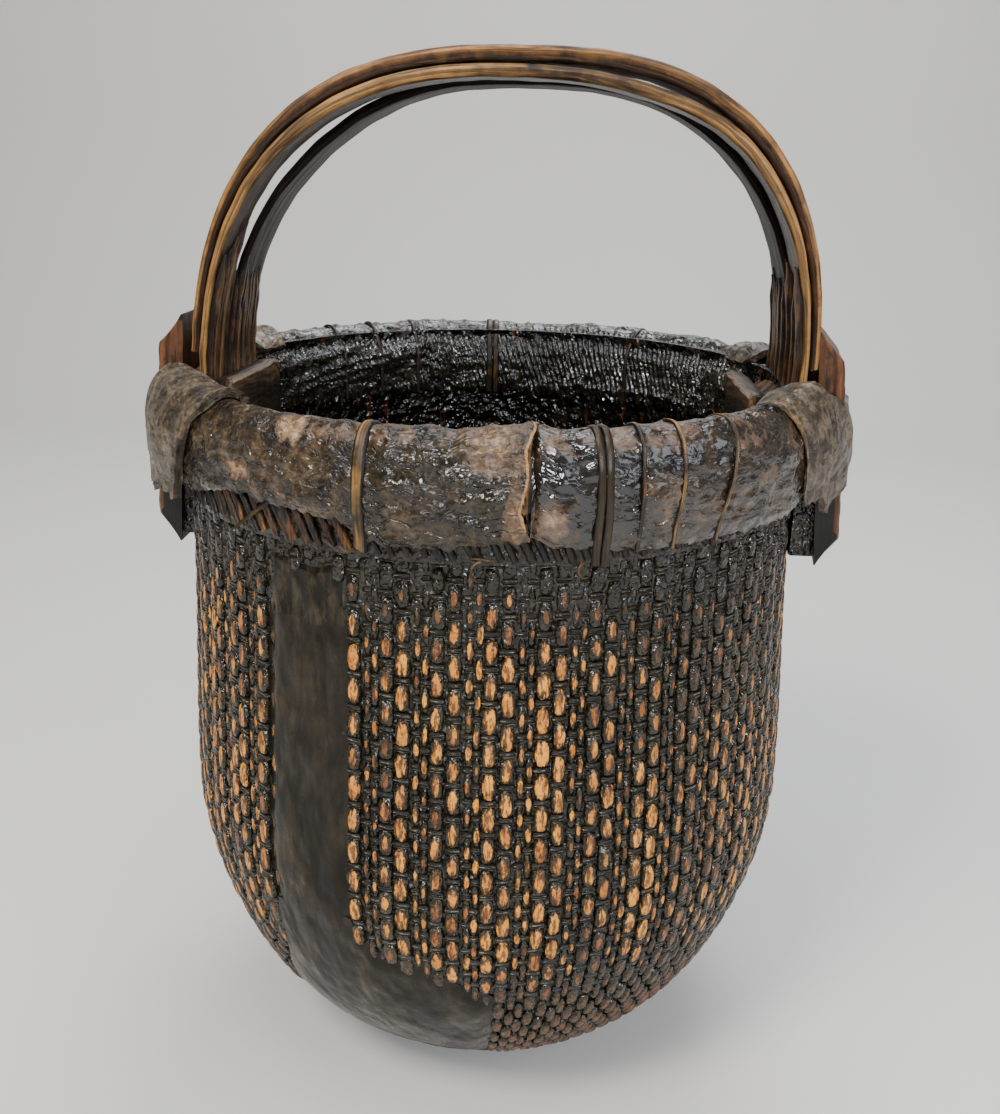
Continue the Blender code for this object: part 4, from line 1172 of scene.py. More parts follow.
@dataclass
class RimSurface:
    """The wrapped rim as a surface of azimuth and place from hem to inner hem."""

    points: int = 64
    line: list[Place] = field(default_factory=list)
    kept: dict[int, list[tuple[float, float, float, float]]] = field(default_factory=dict)

    def __post_init__(self) -> None:
        """Work out the rounded section once."""
        inner = FORM.rim_radius - FORM.rim_width
        base = FORM.rim_top - FORM.rim_height
        corners = [(inner + a * FORM.rim_width, base + b * FORM.rim_height) for a, b in FORM.section]
        self.line = even_line(smooth_line(corners), 240)

    def section(self, azimuth: float) -> list[tuple[float, float, float, float]]:
        """Return the section from the outer hem over the top to the inner hem.

        Args:
            azimuth: Degrees from the front.

        Returns:
            Evenly spaced radius and height, each with its outward direction.
        """
        hem = round(FORM.hem(azimuth) / 0.00005)
        if hem not in self.kept:
            start = next(index for index, (_, z) in enumerate(self.line) if z >= hem * 0.00005)
            line = even_line(self.line[start:], self.points)
            rows = []
            for index, (radius, height) in enumerate(line):
                before, after = line[max(0, index - 1)], line[min(len(line) - 1, index + 1)]
                along_r, along_z = after[0] - before[0], after[1] - before[1]
                scale = math.hypot(along_r, along_z)
                rows.append((radius, height, along_z / scale, -along_r / scale))
            self.kept[hem] = rows
        return self.kept[hem]

    def dent(self, azimuth: float, radius: float, height: float) -> float:
        """Return how far the hide stands out or dips at a place of the rim.

        Args:
            azimuth: Degrees from the front.
            radius: The place's radius.
            height: Its height.

        Returns:
            The distance in metres.
        """
        point = polar(azimuth, radius, height)
        broad = 0.0011 * ripple(point, 0.038, 1.0)
        around = Vector((azimuth * DEGREE_RUN / 0.010, radius / 0.05, height / 0.06))
        creases = noise.noise(around + Vector((3.0, 1.0, 2.0)))
        return broad + 0.00055 * creases + 0.00035 * ripple(point, 0.006, 6.0)

    def point(self, azimuth: float, index: int, lift: float) -> Vector:
        """Return a point of the dented surface, lifted off it.

        Args:
            azimuth: Degrees from the front.
            index: The point of the section.
            lift: How far off the surface, in metres.

        Returns:
            The point.
        """
        radius, height, out_r, out_z = self.section(azimuth)[index]
        off = lift + self.dent(azimuth, radius, height)
        return polar(azimuth, radius + out_r * off, height + out_z * off)


RIM = RimSurface()


@dataclass
class Blot:
    """A worn or glossy place on a hide: its middle, half sizes and strength."""

    azimuth: float
    climb: float
    wide: float
    tall: float
    strength: float = 1.0

    def at(self, azimuth: float, climb: float) -> float:
        """Return how strongly the blot covers a place.

        Args:
            azimuth: Degrees from the front.
            climb: Its height on the way up and over.

        Returns:
            The cover, from 0 to the blot's strength.
        """
        across = (azimuth - self.azimuth) / self.wide
        up = (climb - self.climb) / self.tall
        spot = Vector((azimuth * DEGREE_RUN, climb, self.azimuth))
        ragged = 0.55 * noise.noise(spot / 0.0075) + 0.30 * noise.noise(spot / 0.0030)
        return self.strength * ease(1.35 - 0.85 * (math.hypot(across, up) + ragged))


@dataclass
class Fold:
    """A fold pulled across a hide, from one azimuth and climb to another."""

    start: Place
    end: Place
    height: float = 0.0020

    def at(self, azimuth: float, climb: float) -> float:
        """Return how high the fold stands at a place.

        Args:
            azimuth: Degrees from the front.
            climb: Its height on the way up and over.

        Returns:
            The height in metres.
        """
        begin = Vector((self.start[0] * DEGREE_RUN, self.start[1]))
        span = Vector((self.end[0] * DEGREE_RUN, self.end[1])) - begin
        waver = 0.0012 * drift(azimuth / 3.0, self.height, 1.0)
        place = Vector((azimuth * DEGREE_RUN, climb + waver)) - begin
        share = min(1.0, max(0.0, place.dot(span) / span.length_squared))
        return self.height * ease(1.0 - (place - span * share).length / 0.0036)


@dataclass
class RimWrap:
    """One of the four hides wrapped over the rim, between two azimuths.

    A place on it is an azimuth and a climb: its height on the way up the outside,
    and as far again past the top on the way down the inside.
    """

    name: str
    node: str
    first: float
    last: float
    tan: tuple[Blot, ...] = ()
    gloss: tuple[Blot, ...] = ()
    step: float = 0.45
    lip: float = 0.0
    tucked: bool = False
    cords: float = 0.0
    folds: tuple[Fold, ...] = ()

    def end_azimuth(self, climb: float) -> float:
        """Return where the hide ends: its torn edge wanders as it crosses the rim.

        Args:
            climb: Its height on the way up and over.

        Returns:
            Degrees from the front.
        """
        if not self.lip:
            return self.last
        seam = np.interp(
            climb, (0.360, 0.370, 0.376, 0.386, 0.400, 0.411, 0.421, 0.440, 0.470),
            (9.9, 9.2, 8.6, 7.7, 8.7, 8.5, 10.8, 9.6, 9.0),
        )
        return float(seam) + 0.35 * drift(climb / 0.0035, 3.0, 0.0)

    def build(self, material: Material) -> None:
        """Sweep the hide round the rim, thick where it is folded or torn.

        Args:
            material: The hide's finish.
        """
        span = self.last - self.first
        shares = list(np.linspace(0.0, 1.0, max(2, round(span / self.step)) + 1))
        if self.lip:
            shares = [share for share in shares if (1.0 - share) * span > 2.2]
            shares += [1.0 - near / span for near in (1.9, 1.5, 1.15, 0.85, 0.6, 0.4, 0.2, 0.0)]
        rings: list[Ring] = []
        paint: list[list[Mark]] = []
        top = FORM.rim_top
        for share_round in shares:
            face, back, marks = [], [], []
            for index in range(RIM.points):
                share = index / (RIM.points - 1)
                height = RIM.section(self.first)[index][1]
                climb = height if share < 0.5 else 2.0 * top - height
                end = self.end_azimuth(climb)
                azimuth = self.first + (end - self.first) * share_round
                inner = 2.4 * self.rag(1.7 * azimuth + 40.0) * ease(1.0 - (1.0 - share) * 8.0)
                drop = Vector((0.0, 0.0, self.rag(azimuth) * ease(1.0 - share * 7.0) + inner))
                face.append(RIM.point(azimuth, index, self.lift(azimuth, climb, index, end - azimuth)) + drop)
                back.append(RIM.point(azimuth, index, -0.0026) + drop)
                marks.append(self.mark(azimuth, climb, end - azimuth))
            rings.append(face + back[::-1])
            paint.append(marks + marks[::-1])
        bm = sweep(rings, lambda station, place: paint[station][place])
        Piece(self.name, "brown_rawhide", (self.node,)).place(bm, material, 70.0)

    def rag(self, azimuth: float) -> float:
        """Return how far the torn hem drops or rises at an azimuth."""
        broad = 0.0022 * drift(azimuth / 1.9, self.first, 5.0)
        return broad + 0.0010 * drift(azimuth / 0.5, self.first, 8.0)

    def lift(self, azimuth: float, climb: float, index: int, near: float) -> float:
        """Return how far the hide stands off the rim at a place.

        Args:
            azimuth: Degrees from the front.
            climb: Its height on the way up and over.
            index: Its number in the section.
            near: How far from the hide's end it lies, in degrees.

        Returns:
            The distance, in metres.
        """
        top = FORM.rim_top
        over = ease(1.0 - abs(climb - top) / 0.014)
        lip = self.lip * ease(1.0 - near / (5.0 + 8.0 * over)) * (1.0 + 0.5 * over)
        curl = 0.0010 * ease(1.0 - min(index, RIM.points - 1 - index) / 2.5)
        tucked = 0.0
        if self.tucked:
            past = azimuth - self.first
            tucked = 0.0030 * ease(1.0 - past / 1.1) - 0.0012 * ease(1.0 - abs(past - 3.0) / 3.0)
        ridge = self.cords * math.sin((azimuth * DEGREE_RUN + (climb - top) * 0.45) / 0.0046 * 2.0 * math.pi)
        pulled = sum(fold.at(azimuth, climb) for fold in self.folds)
        wound = ridge * ease((climb - top) / 0.012)
        return lip - curl - tucked + pulled + wound + self.wrinkle(azimuth, climb)

    def wrinkle(self, azimuth: float, climb: float) -> float:
        """Return the height of the long wrinkles that follow the rim round.

        Args:
            azimuth: Degrees from the front.
            climb: Its height on the way up and over.

        Returns:
            The height in metres.
        """
        run = Vector((azimuth * DEGREE_RUN / 0.018, climb / 0.0048, self.first))
        crease = 1.0 - abs(noise.noise(run)) * 5.0
        lump = ripple(Vector((azimuth * DEGREE_RUN, climb, self.first)), 0.011, 2.0)
        return 0.0013 * max(0.0, crease) * ease(0.7 + noise.noise(run * 0.35)) + 0.0010 * lump - 0.0006

    def mark(self, azimuth: float, climb: float, near: float) -> Mark:
        """Return the paint of a place: bare tan, torn edge and gloss.

        Args:
            azimuth: Degrees from the front.
            climb: Its height on the way up and over.
            near: How far from the hide's end it lies, in degrees.

        Returns:
            The paint.
        """
        tan = max((blot.at(azimuth, climb) for blot in self.tan), default=0.0)
        gloss = max((blot.at(azimuth, climb) for blot in self.gloss), default=0.0)
        torn = 0.0
        if self.lip:
            torn = ease(1.5 - near / 0.36) * ease((climb - 0.372) / 0.012) * ease((0.430 - climb) / 0.006)
        hem = 0.42 * ease((0.366 - climb) / 0.006)
        return (max(tan, hem), torn, gloss)


@dataclass
class Cane:
    """A strip of split cane tied over the rim wrap."""

    name: str
    azimuth: float
    width: float
    slant: float = 0.0
    rise: float = 0.0013
    strands: int = 1
    tail: float = 0.0
    worn: float = 0.8
    outline: tuple[Place, ...] = (
        (-1.0, -0.3), (-0.9, 0.55), (-0.55, 0.95), (0.0, 1.0), (0.55, 0.95), (0.9, 0.55), (1.0, -0.3),
    )

    def build(self, material: Material) -> None:
        """Lay the strip over the dented hide from hem to hem.

        Args:
            material: The cane's finish.
        """
        bm = bmesh.new()
        for strand in range(self.strands):
            add_part(bm, self.strand(strand))
        Piece(f"{self.name}_strip", "split_cane", (self.name,)).place(bm, material, 60.0)

    def strand(self, number: int) -> Shape:
        """Sweep one strand of the strip over the rim, its long edges dark.

        Args:
            number: The strand's number across the strip.

        Returns:
            The shape.
        """
        wide = self.width / self.strands
        shift = (number - (self.strands - 1) / 2.0) * wide
        rings = []
        for index in range(RIM.points):
            share = index / (RIM.points - 1)
            radius = RIM.section(self.azimuth)[index][0]
            wave = 0.0007 * drift(share * 5.0, self.azimuth, float(number))
            middle = self.azimuth + math.degrees((shift + wave) / radius)
            middle += self.slant * ease(1.0 - share * 2.0)
            half = math.degrees(wide * (0.47 + 0.08 * drift(share * 9.0, self.azimuth, 2.0)) / radius)
            rings.append([
                RIM.point(middle + half * across, index, self.rise * up) for across, up in self.outline
            ])
        if self.tail:
            rings.insert(0, [point + Vector((0.0, 0.0, -self.tail)) for point in rings[0]])

        def marks(_: int, place: int) -> Mark:
            """Paint the strip's face worn and its two edges dark."""
            return (self.worn, 0.0, 0.0) if 1 < place < 5 else (0.0, 0.9, 0.0)

        return sweep(rings, marks)


@dataclass
class BorderCollar:
    """The slanted border rods lashed round the neck under the wrap."""

    backing_arc: float = 78.0
    rod_arc: float = 74.0
    rod_radius: float = 0.0023
    rod_spread: float = 2.3

    def build(self, material: Material, shell: Material) -> None:
        """Build the backing ring's two arcs and the slanted rods in front of them.

        Args:
            material: The rods' finish.
            shell: The finish of the backing.
        """
        for place, middle in (("front", 0.0), ("back", 180.0)):
            self.backing(place, middle, shell)
            self.slanted(place, middle, material)

    def backing(self, place: str, middle: float, shell: Material) -> None:
        """Sweep the dark backing that the rods are lashed to.

        Args:
            place: Front or back, as in the node's name.
            middle: The arc's middle azimuth.
            shell: The finish.
        """
        rings = []
        low, high = FORM.collar_bottom, FORM.hoop_bottom
        seat = FORM.wall_radius(low)
        for azimuth in np.linspace(middle - self.backing_arc, middle + self.backing_arc, 160):
            lump = 0.0007 * drift(azimuth / 1.5, 0.0, 4.0)
            rings.append([
                polar(azimuth, seat - 0.002, low), polar(azimuth, seat + 0.0022 + lump, low + 0.001),
                polar(azimuth, seat + 0.0030 + lump, low + 0.006), polar(azimuth, seat + 0.0026, high),
                polar(azimuth, seat - 0.002, high),
            ])
        name = f"collar_backing_{place}"
        Piece(name, "willow_rod", (f"border_collar_{place}",)).place(sweep(rings), shell, 60.0)

    def slanted(self, place: str, middle: float, material: Material) -> None:
        """Build the slanted rods of one half as round bars in one mesh.

        Args:
            place: Front or back, as in the piece's name.
            middle: The arc's middle azimuth.
            material: The rods' finish.
        """
        bm = bmesh.new()
        paint = bm.verts.layers.float_vector.new("marks")
        run = bm.verts.layers.float_vector.new("along")
        azimuth, number = middle - self.rod_arc, 0
        while azimuth < middle + self.rod_arc:
            pick = [drift(number * 1.7, seed, middle) for seed in (2.0, 5.0, 7.0, 9.0)]
            lean = 3.2 + 1.6 * pick[0]
            low = FORM.collar_bottom + 0.0035 + 0.0030 * pick[1]
            seat = FORM.wall_radius(low) + 0.0032 + 0.0010 * pick[3]
            start = polar(azimuth + lean, seat, low)
            end = polar(azimuth - lean * 0.2, seat + 0.0016, FORM.hoop_bottom - 0.0005)
            radius = self.rod_radius + 0.0012 * pick[2]
            axis = end - start
            turn = axis.to_track_quat("Z", "Y").to_matrix().to_4x4()
            made = bmesh.ops.create_cone(
                bm, cap_ends=True, segments=8, radius1=radius * 0.8, radius2=radius, depth=axis.length,
                matrix=Matrix.Translation((start + end) / 2.0) @ turn,
            )["verts"]
            bared = ease((azimuth + 52.0) / 6.0) * ease((-12.0 - azimuth) / 8.0) * (0.35 + 1.1 * pick[1])
            for vert in made:
                vert[paint] = (bared, 0.25 if bared < 0.2 else 0.0, 0.0)
                vert[run] = (vert.co.z + azimuth, vert.co.x, 0.0)
            azimuth += self.rod_spread + 1.1 * pick[3]
            number += 1
        Piece(f"collar_rods_{place}", "willow_rod").place(bm, material, 60.0)


@dataclass
class LooseEnd:
    """A broken twig or a curl of frayed cane that hangs from under the hem."""

    name: str
    azimuth: float
    height: float
    length: float
    thick: float
    heading: float
    curl: float = 0.0
    out: float = 0.4

    def build(self, material: Material) -> None:
        """Sweep the end from where it leaves the collar, tapering to its tip.

        Args:
            material: The fibre's finish.
        """
        rings, turn = [], math.radians(self.heading)
        place = polar(self.azimuth, FORM.neck_radius + 0.0055, self.height)
        outward = polar(self.azimuth, 1.0, 0.0)
        across = Vector((0.0, 0.0, 1.0)).cross(outward)
        steps = 22
        for step in range(steps + 1):
            share = step / steps
            ahead = across * math.cos(turn) + Vector((0.0, 0.0, math.sin(turn)))
            side = ahead.cross(outward).normalized()
            uneven = 1.0 + 0.25 * drift(share * 6.0, self.azimuth, 1.0)
            radius = self.thick / 2.0 * (1.0 - 0.65 * share) * uneven
            rings.append([
                place + (side * math.cos(a) + outward * math.sin(a) * 0.6) * radius
                for a in np.linspace(0.0, 2.0 * math.pi, 7)[:-1]
            ])
            swing = self.out * (1.0 - 2.0 * share * bool(self.curl))
            place = place + (ahead + outward * swing) * (self.length / steps)
            turn += math.radians(self.curl) / steps
        bm = sweep(rings, lambda station, ring_place: (0.40 * (1.0 - station / 30.0), 0.3, 0.0))
        Piece(self.name, "willow_rod").place(bm, material, 60.0)


@dataclass
class Handle:
    """The three nested laths of the handle and the splints on its feet.

    A lath's depths are its full thickness and the Y of its front and back edges.
    """

    shift: float = 0.0055
    lean: float = 0.0085
    half_span: float = 0.1737
    spring: float = 0.400
    top: float = 0.586
    power: float = 2.6
    stations: int = 150
    bow_depths: Triple = (0.0084, -0.0430, 0.0050)
    rod_depths: Triple = (0.0068, -0.0458, -0.0100)
    lath_depths: Triple = (0.0058, -0.0040, 0.0450)
    bow: BentWood = BentWood(
        "dark_worn_elm", body="#38210f", worn="#9c6c38", dark="#120a04", grain_mm=1.3, gloss=0.32
    )
    rod: BentWood = BentWood(
        "golden_worn_elm", body="#49301a", worn="#9d7441", dark="#180e06", grain_mm=1.2, gloss=0.32
    )
    lath: BentWood = BentWood(
        "smoked_fibrous_elm", body="#22180e", worn="#574529", dark="#0b0703", grain_mm=1.6,
        grain_length_mm=70.0, gloss=0.46, fibre=0.9, level=0.18,
    )
    splinter: BentWood = BentWood(
        "split_elm_splints", body="#2c1b0e", worn="#7d5a36", dark="#0a0502", grain_mm=1.5,
        grain_length_mm=60.0, gloss=0.40, fibre=1.0,
    )

    def middle(self, height: float) -> float:
        """Return the X of the arch's middle, which leans right as it rises."""
        rise = (height - FORM.rim_top) / (self.top - FORM.rim_top)
        return self.shift + self.lean * min(1.0, max(0.0, rise))

    def on_arch(self, turn: float, inset: float) -> Place:
        """Return X and Z on the arch at a turn from the right foot, drawn in.

        Args:
            turn: Radians round the arch from the right foot.
            inset: Metres in from the outer face.

        Returns:
            X and Z.
        """
        across, up = math.cos(turn), math.sin(turn)
        wide = (self.half_span - inset) * math.copysign(abs(across) ** (2.0 / self.power), across)
        height = self.spring + (self.top - self.spring - inset) * abs(up) ** (2.0 / self.power)
        return self.middle(height) + wide, height

    def turn_at(self, height: float) -> float:
        """Return the turn at which the arch's outer face rises through a height."""
        return math.asin(((height - self.spring) / (self.top - self.spring)) ** (self.power / 2.0))

    def turns(self, first: float) -> np.ndarray:
        """Return turns that space the stations evenly along the arch.

        Args:
            first: The first station's turn.

        Returns:
            The stations' turns in radians.
        """
        fine = np.linspace(first, math.pi - first, 600)
        places = np.array([self.on_arch(turn, 0.0) for turn in fine])
        lengths = np.concatenate([[0.0], np.cumsum(np.hypot(*np.diff(places, axis=0).T))])
        return np.interp(np.linspace(0.0, lengths[-1], self.stations), lengths, fine)

    def thin(self, turn: float) -> float:
        """Return how much of its thickness a lath keeps: it thins at its feet."""
        return 1.0 - 0.38 * abs(math.cos(turn)) ** 3

    def build(self) -> None:
        """Build the laths and the splints."""
        bow, rod, lath = self.bow.make(), self.rod.make(), self.lath.make()
        self.bend_bow(bow)
        self.bend_rod(rod)
        self.bend_lath(lath)
        self.splints(self.splinter.make())

    def lath_rings(
        self, turns: Iterable[float], inset: Callable[[float], float], depths: Triple, seed: float,
        foot: Callable[[float, float, float], float] | None = None,
    ) -> list[Ring]:
        """Return a lath's section at each station, its corners rounded and uneven.

        Args:
            turns: The stations along the arch.
            inset: Gives how far in the outer face lies at a turn.
            depths: The lath's full thickness and the Y of its front and back edges.
            seed: What makes its unevenness its own.
            foot: Moves a face's X near the feet, given X, Z and depth, or none.

        Returns:
            One ring of points for each station, from the outer face's front corner.
        """
        rings = []
        thick, front, back = depths
        for turn in turns:
            thick_here = thick * self.thin(turn)
            x, z = self.on_arch(turn, inset(turn))
            at = Vector((x, 0.0, z))
            slip = 0.0011 * ripple(at, 0.050, seed)
            begin, end = front + slip, back + 0.0013 * ripple(at, 0.041, seed + 3.0)
            ring = []
            for across, deep in self.outline(end - begin, thick_here):
                wobble = 0.00045 * ripple(at + Vector((0.0, across, deep)), 0.013, seed + 5.0)
                fx, fz = self.on_arch(turn, inset(turn) + deep + wobble)
                if foot:
                    fx = foot(fx, fz, deep)
                ring.append(Vector((fx, begin + across, fz)))
            rings.append(ring)
        return rings

    def outline(self, width: float, thick: float) -> list[Place]:
        """Return a rounded bar's outline as pairs of distance across and depth.

        Args:
            width: The bar's width.
            thick: Its thickness.

        Returns:
            The outline's points.
        """
        edge = min(0.0026, thick * 0.42)
        corners = []
        for cx, cy, start in (
            (edge, edge, 180.0), (width - edge, edge, 270.0),
            (width - edge, thick - edge, 0.0), (edge, thick - edge, 90.0),
        ):
            for turn in (0.0, 30.0, 60.0, 90.0):
                angle = math.radians(start + turn)
                corners.append((cx + edge * math.cos(angle), cy + edge * math.sin(angle)))
            if cy == edge and cx == edge:
                corners.extend([(width * share, 0.0) for share in (0.2, 0.35, 0.5, 0.65, 0.8)])
            if cy != edge and cx != edge:
                corners.extend([(width * share, thick) for share in (0.8, 0.65, 0.5, 0.35, 0.2)])
        return corners

    def bend_bow(self, wood: Material) -> None:
        """Bend the dark outer bow, its corners worn gold.

        Args:
            wood: The wood's material.
        """
        turns = self.turns(self.turn_at(0.425))
        rings = self.lath_rings(turns, lambda turn: 0.0, self.bow_depths, 11.0)

        def marks(station: int, place: int) -> Mark:
            """Paint the front's top corner gold, partly hand wear and partly a painted highlight along its
            rounded edge, and the feet darker.

            Args:
                station: The station.
                place: The point of the section.

            Returns:
                The paint.
            """
            # Gold on the front top corner: worn wood plus a painted highlight on the rounded edge.
            worn = 0.80 if place < 4 else 0.15 if place > 20 else 0.0
            near_feet = abs(math.cos(turns[station])) > 0.93
            return (worn, 0.25 if near_feet else 0.10, 0.0)

        Piece("outer_bow", "handle_bow_wood", ("handle_outer_bow",)).place(sweep(rings, marks), wood, 50.0)

    def bow_depth(self, turn: float) -> float:
        """Return how far in the outer bow's inner face lies."""
        return self.bow_depths[0] * self.thin(turn)

    def bend_rod(self, wood: Material) -> None:
        """Bend the rounded golden rod under the bow's front edge.

        Args:
            wood: The wood's material.
        """
        turns = self.turns(self.turn_at(0.4135))

        def inset(turn: float) -> float:
            """Return how far in the rod lies: a gap opens at the right shoulder."""
            gap = ease(1.0 - abs(turn - 1.25) / 0.42)
            return self.bow_depth(turn) + 0.0006 + 0.0022 * gap

        rings = self.lath_rings(turns, inset, self.rod_depths, 23.0)

        def marks(station: int, place: int) -> Mark:
            """Paint the front golden, but for a dark length near the top.

            Args:
                station: The station.
                place: The point of the section.

            Returns:
                The paint.
            """
            worn = 0.9 if place < 3 or place > 22 else 0.20
            top_dark = ease(1.0 - abs(turns[station] - 1.45) / 0.35)
            return (worn * (1.0 - 0.6 * top_dark), 0.35 * top_dark, 0.0)

        Piece("front_rod", "handle_rod_wood", ("handle_front_rod",)).place(sweep(rings, marks), wood, 50.0)

    def lath_inset(self, turn: float) -> float:
        """Return the inner lath's inset: it hangs slack at the left shoulder.

        Args:
            turn: Radians round the arch.

        Returns:
            The inset in metres.
        """
        slack = 0.0055 * math.sin(2.0 * min(turn, math.pi - turn)) ** 2
        kept = 0.25 if turn < math.pi / 2.0 else 1.0
        return self.bow_depth(turn) + 0.0006 + 0.00275 + slack * kept

    def pocket(self, x: float, z: float, deep: float) -> float:
        """Return the X of a face near the foot, drawn in to the pocket by the wall.

        Args:
            x: The face's X on the arch.
            z: Its height.
            deep: How deep in the lath it lies.

        Returns:
            The X.
        """
        side = 1.0 if x > 0.0 else -1.0
        inside = side * (0.1579 - deep)
        return inside + (x - inside) * ease((z - 0.396) / (0.026 if x < 0.0 else 0.014))

    def bend_lath(self, wood: Material) -> None:
        """Bend the broad, smoked inner lath, its feet going down inside the wall.

        Args:
            wood: The wood's material.
        """
        turns = self.turns(0.0)
        rings = self.lath_rings(turns, self.lath_inset, self.lath_depths, 37.0, self.pocket)
        feet = []
        for ring in (rings[0], rings[-1]):
            feet.append([Vector((point.x, point.y, point.z - 0.030)) for point in ring])
        rings = [feet[0], *rings, feet[1]]

        def marks(_: int, place: int) -> Mark:
            """Paint the inner face greyer than the rest, and the faces towards the bow and rod darker as
            painted shade between the laths.
            """
            grey = 0.40 if 13 < place < 21 else 0.1
            # The darker mark on places below 13 is painted shade where the lath lies against the bow and rod.
            return (grey, 0.30 if place < 13 else 0.10, 0.0)

        Piece("inner_lath", "handle_lath_wood", ("handle_inner_lath",)).place(sweep(rings, marks), wood, 50.0)

    def splints(self, wood: Material) -> None:
        """Build the split splints inside each leg, their ends broken at odd heights.

        Args:
            wood: The wood's material.
        """
        for side in Side:
            bm = bmesh.new()
            front, number = -0.0430, 0
            while front < 0.0395:
                pick = [drift(number * 1.93, float(side), seed) for seed in (1.0, 2.0, 3.0)]
                wide = 0.0044 + 0.0024 * pick[0]
                top = 0.466 + 0.030 * pick[1] + (0.012 if front < -0.006 else 0.0)
                add_part(bm, self.splint(side, number, top, front, wide, pick[2]))
                front += wide * 1.04
                number += 1
            nodes = tuple(f"leg_splint_{side.label}_{number}" for number in (1, 2))
            Piece(f"leg_splints_{side.label}", "handle_lath_wood", nodes).place(bm, wood, 50.0)

    def splint(
        self, side: Side, number: int, top: float, front: float, wide: float, proud: float
    ) -> Shape:
        """Sweep one splint up the inside of a leg to its ragged end.

        Args:
            side: The leg.
            number: The splint's number from the front.
            top: The height of its broken end.
            front: The Y of its front edge.
            wide: Its width.
            proud: From -1 to 1, how far it stands off its neighbours.

        Returns:
            The splint's shape.
        """
        rings = []
        inset = 0.0172 if front < -0.006 else 0.0208
        for height in np.linspace(0.374, top, 30):
            share = (max(height, 0.4) - self.spring) / (self.top - self.spring - inset)
            turn = math.asin(min(1.0, share ** (self.power / 2.0)))
            x, _ = self.on_arch(turn if side is Side.RIGHT else math.pi - turn, inset * self.thin(turn))
            x = self.pocket(x, height, 0.0 if front < -0.006 else 0.0030)
            ragged = ease((top - height) / 0.016)
            thick = (0.0030 + 0.0026 * proud) * (0.35 + 0.65 * ragged)
            uneven = 1.0 + 0.3 * drift(height / 0.014, number * 1.1, 8.0)
            half = wide / 2.0 * (0.40 + 0.60 * ragged) * uneven
            middle = front + wide / 2.0 + 0.0011 * drift(height / 0.02, number * 3.1, float(side))
            outer = x + side * 0.0012
            inner = outer - side * (thick + 0.0006 * drift(height / 0.010, number * 2.2, 6.0))
            rings.append([
                Vector((outer, middle - half, height)), Vector((inner, middle - half * 0.62, height)),
                Vector((inner, middle + half * 0.62, height)), Vector((outer, middle + half, height)),
            ])
        bright = 0.95 if number % 3 == 1 else 0.30

        def marks(_: int, place: int) -> Mark:
            """Paint the face towards the hand worn, and the sides and the face behind it dark as painted
            shade in the gaps between the splints.
            """
            # Dark on the outer points: painted shade between the splints and against the leg.
            return (bright, 0.12, 0.0) if place in (1, 2) else (0.0, 0.5, 0.0)

        return sweep(rings, marks)


